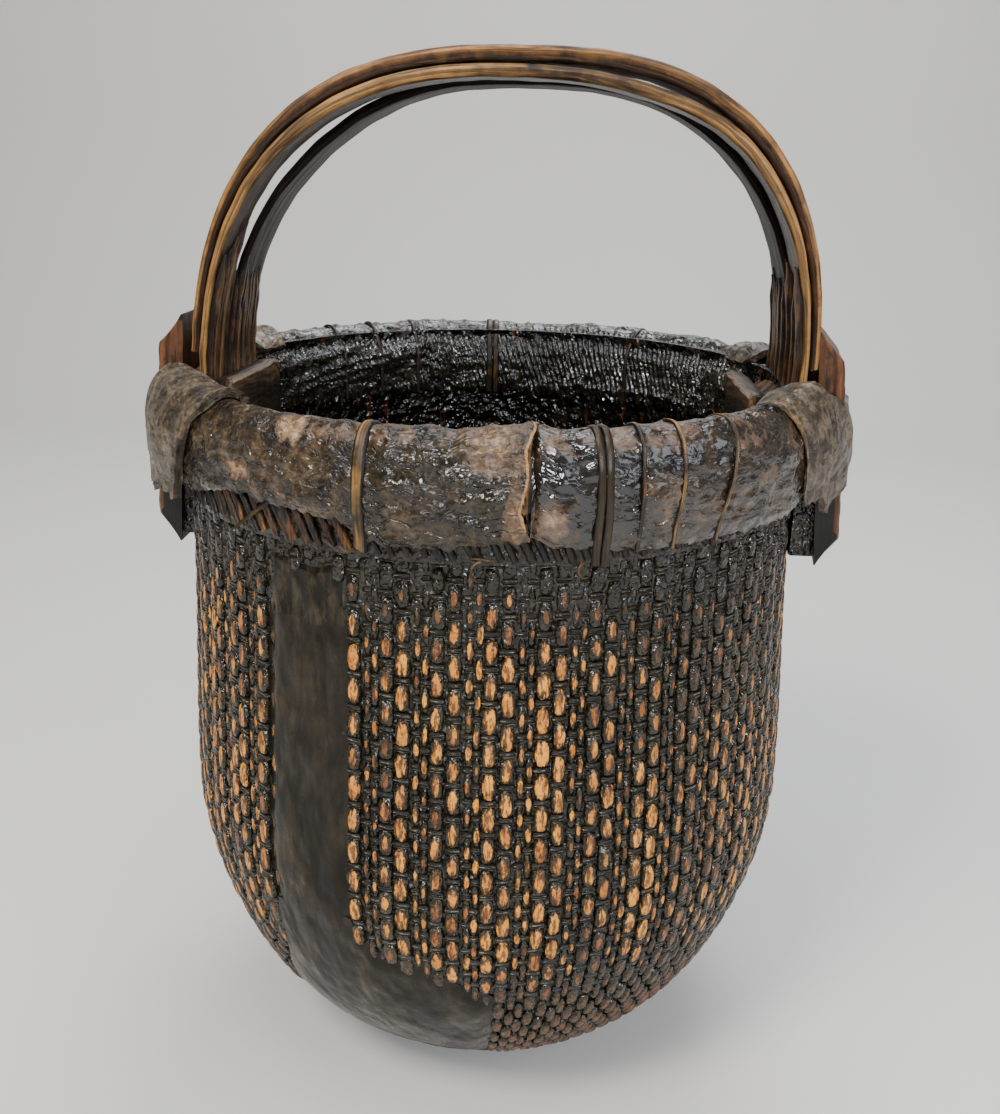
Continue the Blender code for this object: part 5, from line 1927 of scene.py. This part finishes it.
@dataclass
class Ear:
    """One ear: outer cleat, wedge, inner board and the hide that wraps them."""

    side: Side
    swing: float
    width: float = 0.065
    thickness: float = 0.0145
    top: float = 0.4440
    bottom: float = 0.3100
    chamfer: float = 0.0170
    shift: float = 0.003
    foot_inner: float = 0.1865
    head_inner: float = 0.1768
    board_outer: float = 0.1530
    board_thick: float = 0.0115
    board_length: float = 0.1068
    board_top: float = 0.4115
    board_bottom: float = 0.345
    wedge_width: float = 0.056
    wedge_top: float = 0.352
    outline: tuple[Place, ...] = (
        (0.0, 0.0), (0.3, 0.0), (0.6, 0.0), (0.88, 0.0), (1.0, 0.03), (1.0, 0.25), (1.0, 0.5),
        (1.0, 0.75), (1.0, 0.97), (0.88, 1.0), (0.5, 1.0), (0.0, 1.0), (0.0, 0.5),
    )

    def inner_x(self, height: float) -> float:
        """Return how far out the cleat's inner face lies at a height."""
        rise = (height - self.bottom) / (self.top - self.bottom)
        return self.foot_inner + (self.head_inner - self.foot_inner) * rise

    def point(self, out: float, y: float, height: float) -> Vector:
        """Return a point of the cleat, out from its inner face."""
        turned = math.tan(math.radians(self.swing)) * (y + self.width / 2.0)
        return Vector((self.shift + self.side * (self.inner_x(height) + out + turned), y, height))

    def build(
        self, wood: Material, board: Material, black: Material,
        hide: Material,
    ) -> None:
        """Build every piece of the ear.

        Args:
            wood: The cleat's finish.
            board: The board's.
            black: The slip's.
            hide: The hide's.
        """
        self.cleat(wood)
        self.board(board)
        self.wedge(black)
        self.hide(hide)

    def cleat(self, wood: Material) -> None:
        """Build the chamfered outer cleat with worn, uneven corners.

        Args:
            wood: The cleat's finish.
        """
        rings = []
        heights = list(np.linspace(self.bottom, self.top, 34))
        for height in heights:
            low = min(1.0, (height - self.bottom) / self.chamfer)
            high = min(1.0, (self.top - height) / self.chamfer)
            out = max(0.0008, self.thickness * min(low, high))
            ring = []
            for out_share, y_share in self.outline:
                y = -self.width / 2.0 + self.width * y_share
                point = self.point(out * out_share, y, height)
                point.x += self.side * 0.0007 * ripple(point, 0.009, 3.0) * (0.3 + out_share)
                point.y += 0.0008 * ripple(point, 0.012, 6.0)
                ring.append(point)
            rings.append(ring)

        def marks(station: int, place: int) -> Mark:
            """Paint the corners bare, the face half worn and the lower front black.

            Args:
                station: The station.
                place: The point of the section.

            Returns:
                The paint.
            """
            height = heights[station]
            edge = 0.9 if place in (3, 4, 8, 9) else 0.0
            face = 0.55 if 4 < place < 8 else 0.0
            upper = ease((height - 0.405) / 0.006)
            front = place < 4
            lacquer = (0.45 if front else 0.1) * upper + (1.2 if front else 0.45) * (1.0 - upper)
            return (max(edge, face, 0.75 * upper), lacquer if edge < 0.5 or height < 0.33 else 0.1, 0.0)

        name = f"cleat_{self.side.label}"
        Piece(name, "cleat_wood", (f"outer_cleat_{self.side.label}",)).place(sweep(rings, marks), wood, 40.0)

    def board(self, wood: Material) -> None:
        """Build the inner board, its top edge rubbed grey.

        Args:
            wood: The board's finish.
        """
        rings = []
        near = self.board_outer - self.board_thick
        for share in np.linspace(0.0, 1.0, 44):
            y = -self.board_length / 2.0 + self.board_length * share
            top = self.board_top - 0.0050 * share + 0.0011 * drift(y / 0.016, float(self.side), 1.0)
            end = min(1.0, min(share, 1.0 - share) * self.board_length / 0.006)
            far = self.board_outer - (1.0 - end) * 0.0055
            ring = []
            for out, height in (
                (far, self.board_bottom), (far, 0.375), (far, top - 0.0018), (far - 0.0015, top - 0.0003),
                (far - 0.006, top + 0.0002), (near + 0.0018, top - 0.0003), (near, top - 0.0020),
                (near, 0.392), (near, 0.375), (near, self.board_bottom),
            ):
                wobble = 0.0006 * drift(y / 0.007, height / 0.007, 4.0)
                ring.append(Vector((self.side * (out + wobble), y, height)))
            rings.append(ring)

        def marks(_: int, place: int) -> Mark:
            """Paint the rubbed top edge bare and the rest dark; on the top's outer half the dark is painted
            shade from the splints.
            """
            # The top's outer half gets the dark mark as painted shade from the splints beside it.
            return (0.95, 0.0, 0.0) if 4 < place < 7 else (0.20, 0.40, 0.0)

        name = f"board_{self.side.label}"
        nodes = (f"inner_cleat_{self.side.label}",)
        Piece(name, "cleat_wood", nodes).place(sweep(rings, marks), wood, 40.0)

    def wedge(self, black: Material) -> None:
        """Build the black slip behind the cleat's foot, its lower edge broken.

        Args:
            black: The slip's finish.
        """
        rings = []
        for share in np.linspace(0.0, 1.0, 24):
            y = -self.wedge_width / 2.0 + self.wedge_width * share
            low = self.bottom + 0.002 + 0.0035 * (0.5 + drift(y / 0.004, float(self.side), 9.0))
            seat = self.side * (FORM.wall_radius(self.bottom) - 0.001)
            rings.append([
                self.point(-0.0002, y, low), self.point(-0.0002, y, self.wedge_top),
                Vector((seat, y, self.wedge_top)), Vector((seat, y, low)),
            ])
        piece = Piece(f"wedge_{self.side.label}", "black_lacquer_hide", (f"cleat_wedge_{self.side.label}",))
        piece.place(sweep(rings), black, 40.0)

    def edge(self, way: int, climb: float) -> float:
        """Return how far off the ear's middle the hide ends at a climb, in degrees.

        Args:
            way: Minus one for the front half of the ear, one for the back.
            climb: Its height on the way up and over.

        Returns:
            Degrees off the ear's middle.
        """
        climbs, offs = {
            (Side.LEFT, -1): (
                (0.350, 0.366, 0.382, 0.405, 0.413, 0.425, 0.450),
                (38.0, 38.4, 40.4, 43.0, 46.0, 50.0, 52.0),
            ),
            (Side.RIGHT, -1): (
                (0.350, 0.385, 0.400, 0.412, 0.425, 0.450),
                (28.0, 31.2, 32.6, 35.2, 38.0, 40.0),
            ),
        }.get((self.side, way), ((0.350, 0.400, 0.450), (26.0, 28.0, 29.5)))
        return float(np.interp(climb, climbs, offs)) + 0.5 * drift(climb / 0.006, float(way), self.side)

    def hide(self, hide: Material) -> None:
        """Build the ear's hide: over the rim, round the cleat and over the rim again.

        Args:
            hide: The hide's finish.
        """
        faces: list[tuple[Ring, Ring]] = []
        for way in (-1, 1):
            stations = 30 if way < 0 else 18
            smooth = self.side is Side.RIGHT and way < 0
            part = []
            for share in np.linspace(0.0, 1.0, stations):
                lift = 0.0042 - (0.0030 * (1.0 - ease(share * 1.8)) if smooth else 0.0)
                part.append((self.over_rim(way, share, lift), self.over_rim(way, share, 0.0005)))
            edge = self.width / 2.0 * way
            ring = (self.up_cleat(edge + way * 0.0026, 0.0022), self.up_cleat(edge + way * 0.0004, 0.0003))
            between = []
            for share in (0.15, 0.3, 0.45, 0.6, 0.75, 0.9):
                paths = zip(part[-1], ring)
                between.append(tuple([p.lerp(q, ease(share)) for p, q in zip(a, b)] for a, b in paths))
            run = part + between + [ring]
            faces += run if way < 0 else run[::-1]
            if way < 0:
                for y in np.linspace(edge + 0.004, -edge - 0.004, 14):
                    faces.append((self.up_cleat(float(y), 0.0034), self.up_cleat(float(y), 0.0003)))
        rings = []
        slant = 0.24 if self.side is Side.RIGHT else 0.05
        for station, (outer, inner) in enumerate(faces):
            shaped = []
            for index, point in enumerate(outer):
                ridge = math.sin(station * 0.95 + slant * index + 2.4 * ripple(point, 0.028, 2.0))
                groove = 0.0016 * ease(1.0 - abs(station - 8.0) / 0.9) * (self.side is Side.LEFT)
                out = (point - inner[index]).normalized()
                lift = 0.0008 * ridge + 0.0009 * ripple(point, 0.012, 8.0) - groove
                low = 0.0022 * drift(station * 0.7, float(self.side), 2.0) * ease(1.0 - index / 3.0)
                shaped.append(point + out * lift + Vector((0.0, 0.0, low)))
            rings.append(shaped + inner[::-1])
        last = len(rings) - 1

        def marks(station: int, place: int) -> Mark:
            """Paint the ridges bare and the outer edges torn.

            Args:
                station: The station.
                place: The point of the section.

            Returns:
                The paint.
            """
            rim = station < 1 or station == last
            pale = 0.42 if self.side is Side.RIGHT and 1 <= station < 3 else 0.0
            ridge = 0.25 + 0.22 * math.sin(station * 0.95 + slant * place)
            return (max(ridge, 0.5 if place < 2 else 0.0), pale + 0.12 * rim, 0.0)

        name = f"ear_wrap_{self.side.label}"
        Piece(name, "brown_rawhide", (f"ear_hide_{self.side.label}",)).place(sweep(rings, marks), hide, 70.0)

    def over_rim(self, way: int, share: float, lift: float, count: int = 30) -> Ring:
        """Return a path over the rim, from the hide's hem to where it ends inside.

        Args:
            way: Minus one for the front half of the ear, one for the back.
            share: Zero at the hide's edge, one beside the cleat.
            lift: How far the path stands off the wrapped rim.
            count: How many points it has.

        Returns:
            The path's points.
        """
        near = 17.0
        bottom = 0.3495 + 0.0130 * ease((1.0 - share) * 2.2)
        line = [(0.1925, bottom)] + [place for place in RIM.line if place[1] > 0.370 or place[0] < 0.18]
        reach = 0.66 - 0.16 * ease((share - 0.8) / 0.2)
        kept = even_line(even_line(line, 200)[:int(200 * reach)], count)
        path = []
        for index, (radius, height) in enumerate(kept):
            before, after = kept[max(0, index - 1)], kept[min(count - 1, index + 1)]
            along_r, along_z = after[0] - before[0], after[1] - before[1]
            scale = max(1e-9, math.hypot(along_r, along_z))
            climb = height if along_r < 0.0 or radius > 0.18 else 2.0 * FORM.rim_top - height
            off = self.edge(way, climb) * (1.0 - share) + near * share
            azimuth = 90.0 * self.side + self.side * way * off
            proud = lift + RIM.dent(azimuth, radius, height) * (1.0 - share * share)
            path.append(polar(azimuth, radius + proud * along_z / scale, height - proud * along_r / scale))
        return path

    def up_cleat(self, y: float, out: float, count: int = 30) -> Ring:
        """Return a path up the outside of the cleat.

        Args:
            y: The path's Y.
            out: How far it stands off the cleat.
            count: How many points it has.

        Returns:
            The path's points.
        """
        path = []
        for share in np.linspace(0.0, 1.0, count):
            low = 0.3485 if self.side is Side.LEFT else 0.3585
            height = low + (0.4050 - low) * share
            bulge = 0.0015 * math.sin(math.pi * share)
            path.append(self.point(self.thickness + out + bulge, y, height))
        return path


@dataclass
class Studio:
    """The pale floor, the soft lights and the camera at the photograph's angle."""

    distance: float = 0.703
    height: float = 0.535
    turn: float = 4.0
    heading: float = 3.56
    down: float = 18.76
    roll: float = 1.10
    focal: float = 38.78

    def build(self) -> None:
        """Build the floor, the lights, the world and the camera."""
        self.floor()
        self.light("key", (-0.8, -1.3, 2.1), 0.7, 44.0, "#fffaf2")
        self.light("window", (0.35, -2.1, 1.2), 0.5, 34.0, "#f4f7ff")
        self.light("fill", (1.5, -0.9, 1.1), 1.0, 11.0, "#eef4ff")
        self.light("back", (0.3, 1.3, 2.1), 1.2, 30.0, "#f4f8ff")
        self.light("sky", (0.1, -0.2, 2.4), 1.4, 22.0, "#f0f5ff")
        world = bpy.data.worlds.new("pale_room")
        world.use_nodes = True
        backdrop = world.node_tree.nodes["Background"]
        backdrop.inputs[0].default_value = linear_rgba("#e6e8ea")
        backdrop.inputs[1].default_value = 0.34
        bpy.context.scene.world = world
        self.camera()

    def floor(self) -> None:
        """Build the pale floor and its curved-up back."""
        bm = bmesh.new()
        verts = [bm.verts.new((-4.0, y, 0.0)) for y in (-4.0, 1.6)]
        edges = [bm.edges.new(verts)]
        wall = [
            bm.verts.new((-4.0, 1.6 + 0.6 * math.sin(a), 0.6 - 0.6 * math.cos(a)))
            for a in np.linspace(0.13, math.pi / 2, 12)
        ]
        wall.append(bm.verts.new((-4.0, 2.2, 4.0)))
        chain = [verts[1], *wall]
        edges += [bm.edges.new(pair) for pair in zip(chain, chain[1:])]
        made = bmesh.ops.extrude_edge_only(bm, edges=edges)["geom"]
        moved = [item for item in made if isinstance(item, bmesh.types.BMVert)]
        bmesh.ops.translate(bm, verts=moved, vec=(8.0, 0.0, 0.0))
        bmesh.ops.recalc_face_normals(bm, faces=bm.faces[:])
        mesh = bpy.data.meshes.new("studio_floor")
        bm.to_mesh(mesh)
        bm.free()
        mesh.shade_smooth()
        mesh.materials.append(TroweledFloor("pale_matt_plaster").make())
        floor = bpy.data.objects.new("studio_floor", mesh)
        bpy.context.collection.objects.link(floor)

    def light(self, name: str, at: Triple, size: float, power: float, colour: str) -> None:
        """Hang one soft area light aimed at the basket.

        Args:
            name: The light's name.
            at: Its place.
            size: Its side in metres.
            power: Its watts.
            colour: Its hex colour.
        """
        data = bpy.data.lights.new(name, "AREA")
        data.size = size
        data.energy = power
        data.color = linear_rgba(colour)[:3]
        lamp = bpy.data.objects.new(name, data)
        lamp.location = at
        lamp.rotation_euler = (Vector((0.0, 0.0, 0.25)) - Vector(at)).to_track_quat("-Z", "Y").to_euler()
        bpy.context.collection.objects.link(lamp)

    def camera(self) -> None:
        """Set the camera where the photograph was taken from."""
        data = bpy.data.cameras.new("camera")
        data.lens = self.focal
        data.sensor_width = 36.0
        data.clip_start = 0.01
        camera = bpy.data.objects.new("camera", data)
        away = math.radians(self.turn)
        place = Vector((self.distance * math.sin(away), -self.distance * math.cos(away), self.height))
        turned = (
            Matrix.Rotation(math.radians(self.heading), 4, "Z")
            @ Matrix.Rotation(math.radians(90.0 - self.down), 4, "X")
            @ Matrix.Rotation(math.radians(self.roll), 4, "Z")
        )
        camera.matrix_world = Matrix.Translation(place) @ turned
        bpy.context.collection.objects.link(camera)
        bpy.context.scene.camera = camera


def rim_wraps() -> list[RimWrap]:
    """Return the four hides of the rim with their worn places.

    Returns:
        The hides, in order round the rim.
    """
    return [
        RimWrap(
            "wrap_front_left", "rim_hide_front_left", -68.5, 8.6, lip=0.0020,
            tan=(
                Blot(-25.9, 0.411, 2.3, 0.0060, 1.2), Blot(-20.0, 0.4125, 4.6, 0.0040, 0.62),
                Blot(-34.2, 0.3845, 2.4, 0.0050, 1.1), Blot(-29.0, 0.3775, 6.0, 0.0022, 0.5),
                Blot(4.6, 0.412, 4.2, 0.0120, 0.74), Blot(6.9, 0.384, 1.8, 0.0170, 0.72),
                Blot(2.0, 0.4240, 9.0, 0.0080, 0.60), Blot(-50.0, 0.415, 6.0, 0.0070, 0.4),
                Blot(-10.0, 0.4200, 9.0, 0.0060, 0.42),
            ),
            gloss=(
                Blot(2.8, 0.390, 3.0, 0.0150), Blot(-6.0, 0.406, 8.5, 0.0070, 0.75),
                Blot(-12.0, 0.385, 2.0, 0.0200, 0.6), Blot(-9.0, 0.372, 9.0, 0.0060, 0.5),
                Blot(-60.0, 0.455, 30.0, 0.0250), Blot(0.0, 0.455, 70.0, 0.0190),
            ),
        ),
        RimWrap(
            "wrap_front_right", "rim_hide_front_right", 9.2, 68.5, tucked=True,
            tan=(
                Blot(12.1, 0.379, 2.4, 0.0060, 0.78), Blot(12.5, 0.4130, 3.0, 0.0050, 0.45),
                Blot(22.0, 0.4170, 3.0, 0.0050, 0.7), Blot(30.0, 0.389, 2.0, 0.0110, 0.55),
                Blot(30.0, 0.4170, 9.0, 0.0050, 0.45), Blot(47.5, 0.395, 3.0, 0.0060, 0.7),
                Blot(44.0, 0.4140, 7.0, 0.0060, 0.45),
            ),
            gloss=(
                Blot(14.0, 0.404, 5.0, 0.0130), Blot(23.0, 0.398, 2.0, 0.0160),
                Blot(17.0, 0.385, 1.6, 0.0140, 0.9), Blot(30.0, 0.408, 5.0, 0.0060, 0.8),
                Blot(38.0, 0.408, 3.0, 0.0060, 0.7), Blot(40.0, 0.366, 14.0, 0.0035, 0.9),
                Blot(40.0, 0.455, 60.0, 0.0190),
            ),
        ),
        RimWrap(
            "wrap_back_right", "rim_hide_back_right", 111.5, 176.0, cords=0.0008, step=0.3,
            gloss=(Blot(143.0, 0.446, 70.0, 0.0260),),
            folds=(
                Fold((128.0, 0.4600), (166.0, 0.4590), 0.0020),
                Fold((120.0, 0.4250), (128.0, 0.4560), 0.0016),
            ),
        ),
        RimWrap(
            "wrap_back_left", "rim_hide_back_left", 176.0, 248.5, cords=0.0006, step=0.3,
            gloss=(Blot(212.0, 0.446, 80.0, 0.0260),),
            folds=(
                Fold((240.0, 0.4500), (201.0, 0.4330)), Fold((236.0, 0.4550), (205.0, 0.4390), 0.0024),
                Fold((229.0, 0.4580), (208.0, 0.4445), 0.0018),
                Fold((246.0, 0.4400), (222.0, 0.4330), 0.0014),
            ),
        ),
    ]


def canes() -> list[Cane]:
    """Return every cane strip over the rim.

    Returns:
        The strips.
    """
    return [
        Cane("cane_front_wide", -14.2, 0.0066, rise=0.0016, tail=0.006, worn=0.52),
        Cane("cane_front_double", 19.2, 0.0086, rise=0.0012, strands=2, tail=0.007, worn=0.10),
        Cane("cane_front_thin_1", 24.9, 0.0024, -0.4, rise=0.0010, worn=0.30),
        Cane("cane_front_thin_2", 31.1, 0.0026, -0.9, rise=0.0010, worn=0.50),
        Cane("cane_front_thin_3", 41.1, 0.0026, -3.0, rise=0.0010, worn=0.42),
        Cane("cane_back_thin_1", 149.0, 0.0028, rise=0.0010, worn=0.0),
        Cane("cane_back_double", 184.6, 0.0090, rise=0.0011, strands=2, worn=0.12),
        Cane("cane_back_thin_2", 204.0, 0.0030, rise=0.0010, worn=0.0),
        Cane("cane_back_thin_3", 214.0, 0.0028, rise=0.0010, worn=0.0),
        Cane("cane_back_thin_4", 224.0, 0.0028, rise=0.0010, worn=0.0),
    ]


def loose_ends() -> list[LooseEnd]:
    """Return the broken twig and the frayed curls that the photograph shows under the hem.

    Returns:
        The ends.
    """
    return [
        LooseEnd("broken_twig", -31.2, 0.3755, 0.028, 0.0034, 222.0, out=0.30),
        LooseEnd("frayed_fibre_1", -22.0, 0.3590, 0.013, 0.0016, -14.0, -30.0, 0.4),
        LooseEnd("frayed_fibre_2", -20.6, 0.3580, 0.011, 0.0013, 205.0, 40.0, 0.4),
        LooseEnd("frayed_fibre_3", -19.0, 0.3570, 0.010, 0.0012, -35.0, 70.0, 0.5),
        LooseEnd("frayed_curl_1", 2.6, 0.3555, 0.015, 0.0017, 185.0, 170.0, 0.4),
        LooseEnd("frayed_curl_2", 17.9, 0.3545, 0.014, 0.0017, 190.0, 210.0, 0.4),
        LooseEnd("frayed_fibre_4", 1.0, 0.3570, 0.014, 0.0014, 4.0, -25.0, 0.3),
        LooseEnd("frayed_fibre_5", 57.0, 0.3600, 0.012, 0.0010, -70.0, 40.0, 0.5),
    ]


def dress_nodes(hoop: Material) -> None:
    """Give the CAD nodes that stay their finish.

    Args:
        hoop: The willow rod finish for hoops and pegs.
    """
    for name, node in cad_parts.items():
        if name.startswith(("rim_hoop", "peg_")):
            for slot in node.material_slots:
                slot.material = hoop


def main() -> None:
    """Build the basket's pieces in order, then the studio."""
    logging.basicConfig(level=logging.INFO, format="%(name)s %(message)s")
    WovenWall().build()
    HideInlay().build()
    hide = LacqueredHide("rawhide_in_worn_lacquer").make()
    back_hide = LacqueredHide(
        "rawhide_in_glossy_lacquer", tones=("#0e0c07", "#231e14", "#362f21", "#463e2d", "#6a604a"),
        gloss_deep="#12100a", gloss_worn="#332e22", mottle_mm=9.0, speck_mm=2.8, crack_mm=9.0, swell_mm=9.0,
        pulled=1.2, swollen=0.9, cracked=0.25, gritty=0.03, level=0.85, bump=0.7, roughness=0.24,
    ).make()
    polished = LacqueredHide(
        "rawhide_polished_by_hands", tones=("#100c06", "#1f1810", "#2b2217", "#38291a", "#5c472f"),
        gloss_deep="#0d0c09", gloss_worn="#241f16", speck_mm=4.5, swell_mm=8.5, pulled=0.7, swollen=1.0,
        cracked=0.3, gritty=0.06, level=0.8, bump=0.7, roughness=0.19,
    ).make()
    skins = {"wrap_front_left": hide, "wrap_front_right": polished}
    for wrap in rim_wraps():
        wrap.build(skins.get(wrap.name, back_hide))
    cane = BentWood(
        "split_cane_in_lacquer", body="#2f2313", worn="#9a7440", dark="#0f0b06", grain_mm=0.9,
        gloss=0.32, fibre=0.5,
    ).make()
    for strip in canes():
        strip.build(cane)
    rod = BentWood(
        "willow_border_rod", body="#211910", worn="#7d5228", dark="#0d0a06", grain_mm=1.2, gloss=0.34
    ).make()
    BorderCollar().build(rod, PitchLacquer("collar_black_lacquer").make())
    for end in loose_ends():
        end.build(cane)
    Handle().build()
    cleat_wood = BentWood(
        "stained_cleat_wood", body="#2e1c0d", worn="#764827", dark="#0d0c08", grain_mm=1.5, gloss=0.36
    ).make()
    board_wood = BentWood(
        "grey_worn_board", body="#2a1a0c", worn="#705436", dark="#0e0a05", grain_mm=1.4, gloss=0.40
    ).make()
    black = PitchLacquer("wedge_black_lacquer").make()
    ear_hide = LacqueredHide(
        "dusty_rawhide_on_ears", tones=("#1c160d", "#352b1c", "#45392a", "#554836", "#786853"),
        gloss_deep="#241e14", gloss_worn="#4b4233", tan="#6a5b48", tan_pale="#94826a", crack_mm=14.0,
        fold_mm=8.0, bump=0.6, roughness=0.40,
    ).make()
    for side, swing in ((Side.LEFT, 0.0), (Side.RIGHT, 7.0)):
        Ear(side, swing).build(cleat_wood, board_wood, black, ear_hide)
    dress_nodes(rod)
    Studio().build()


if __name__ == "__main__":
    main()
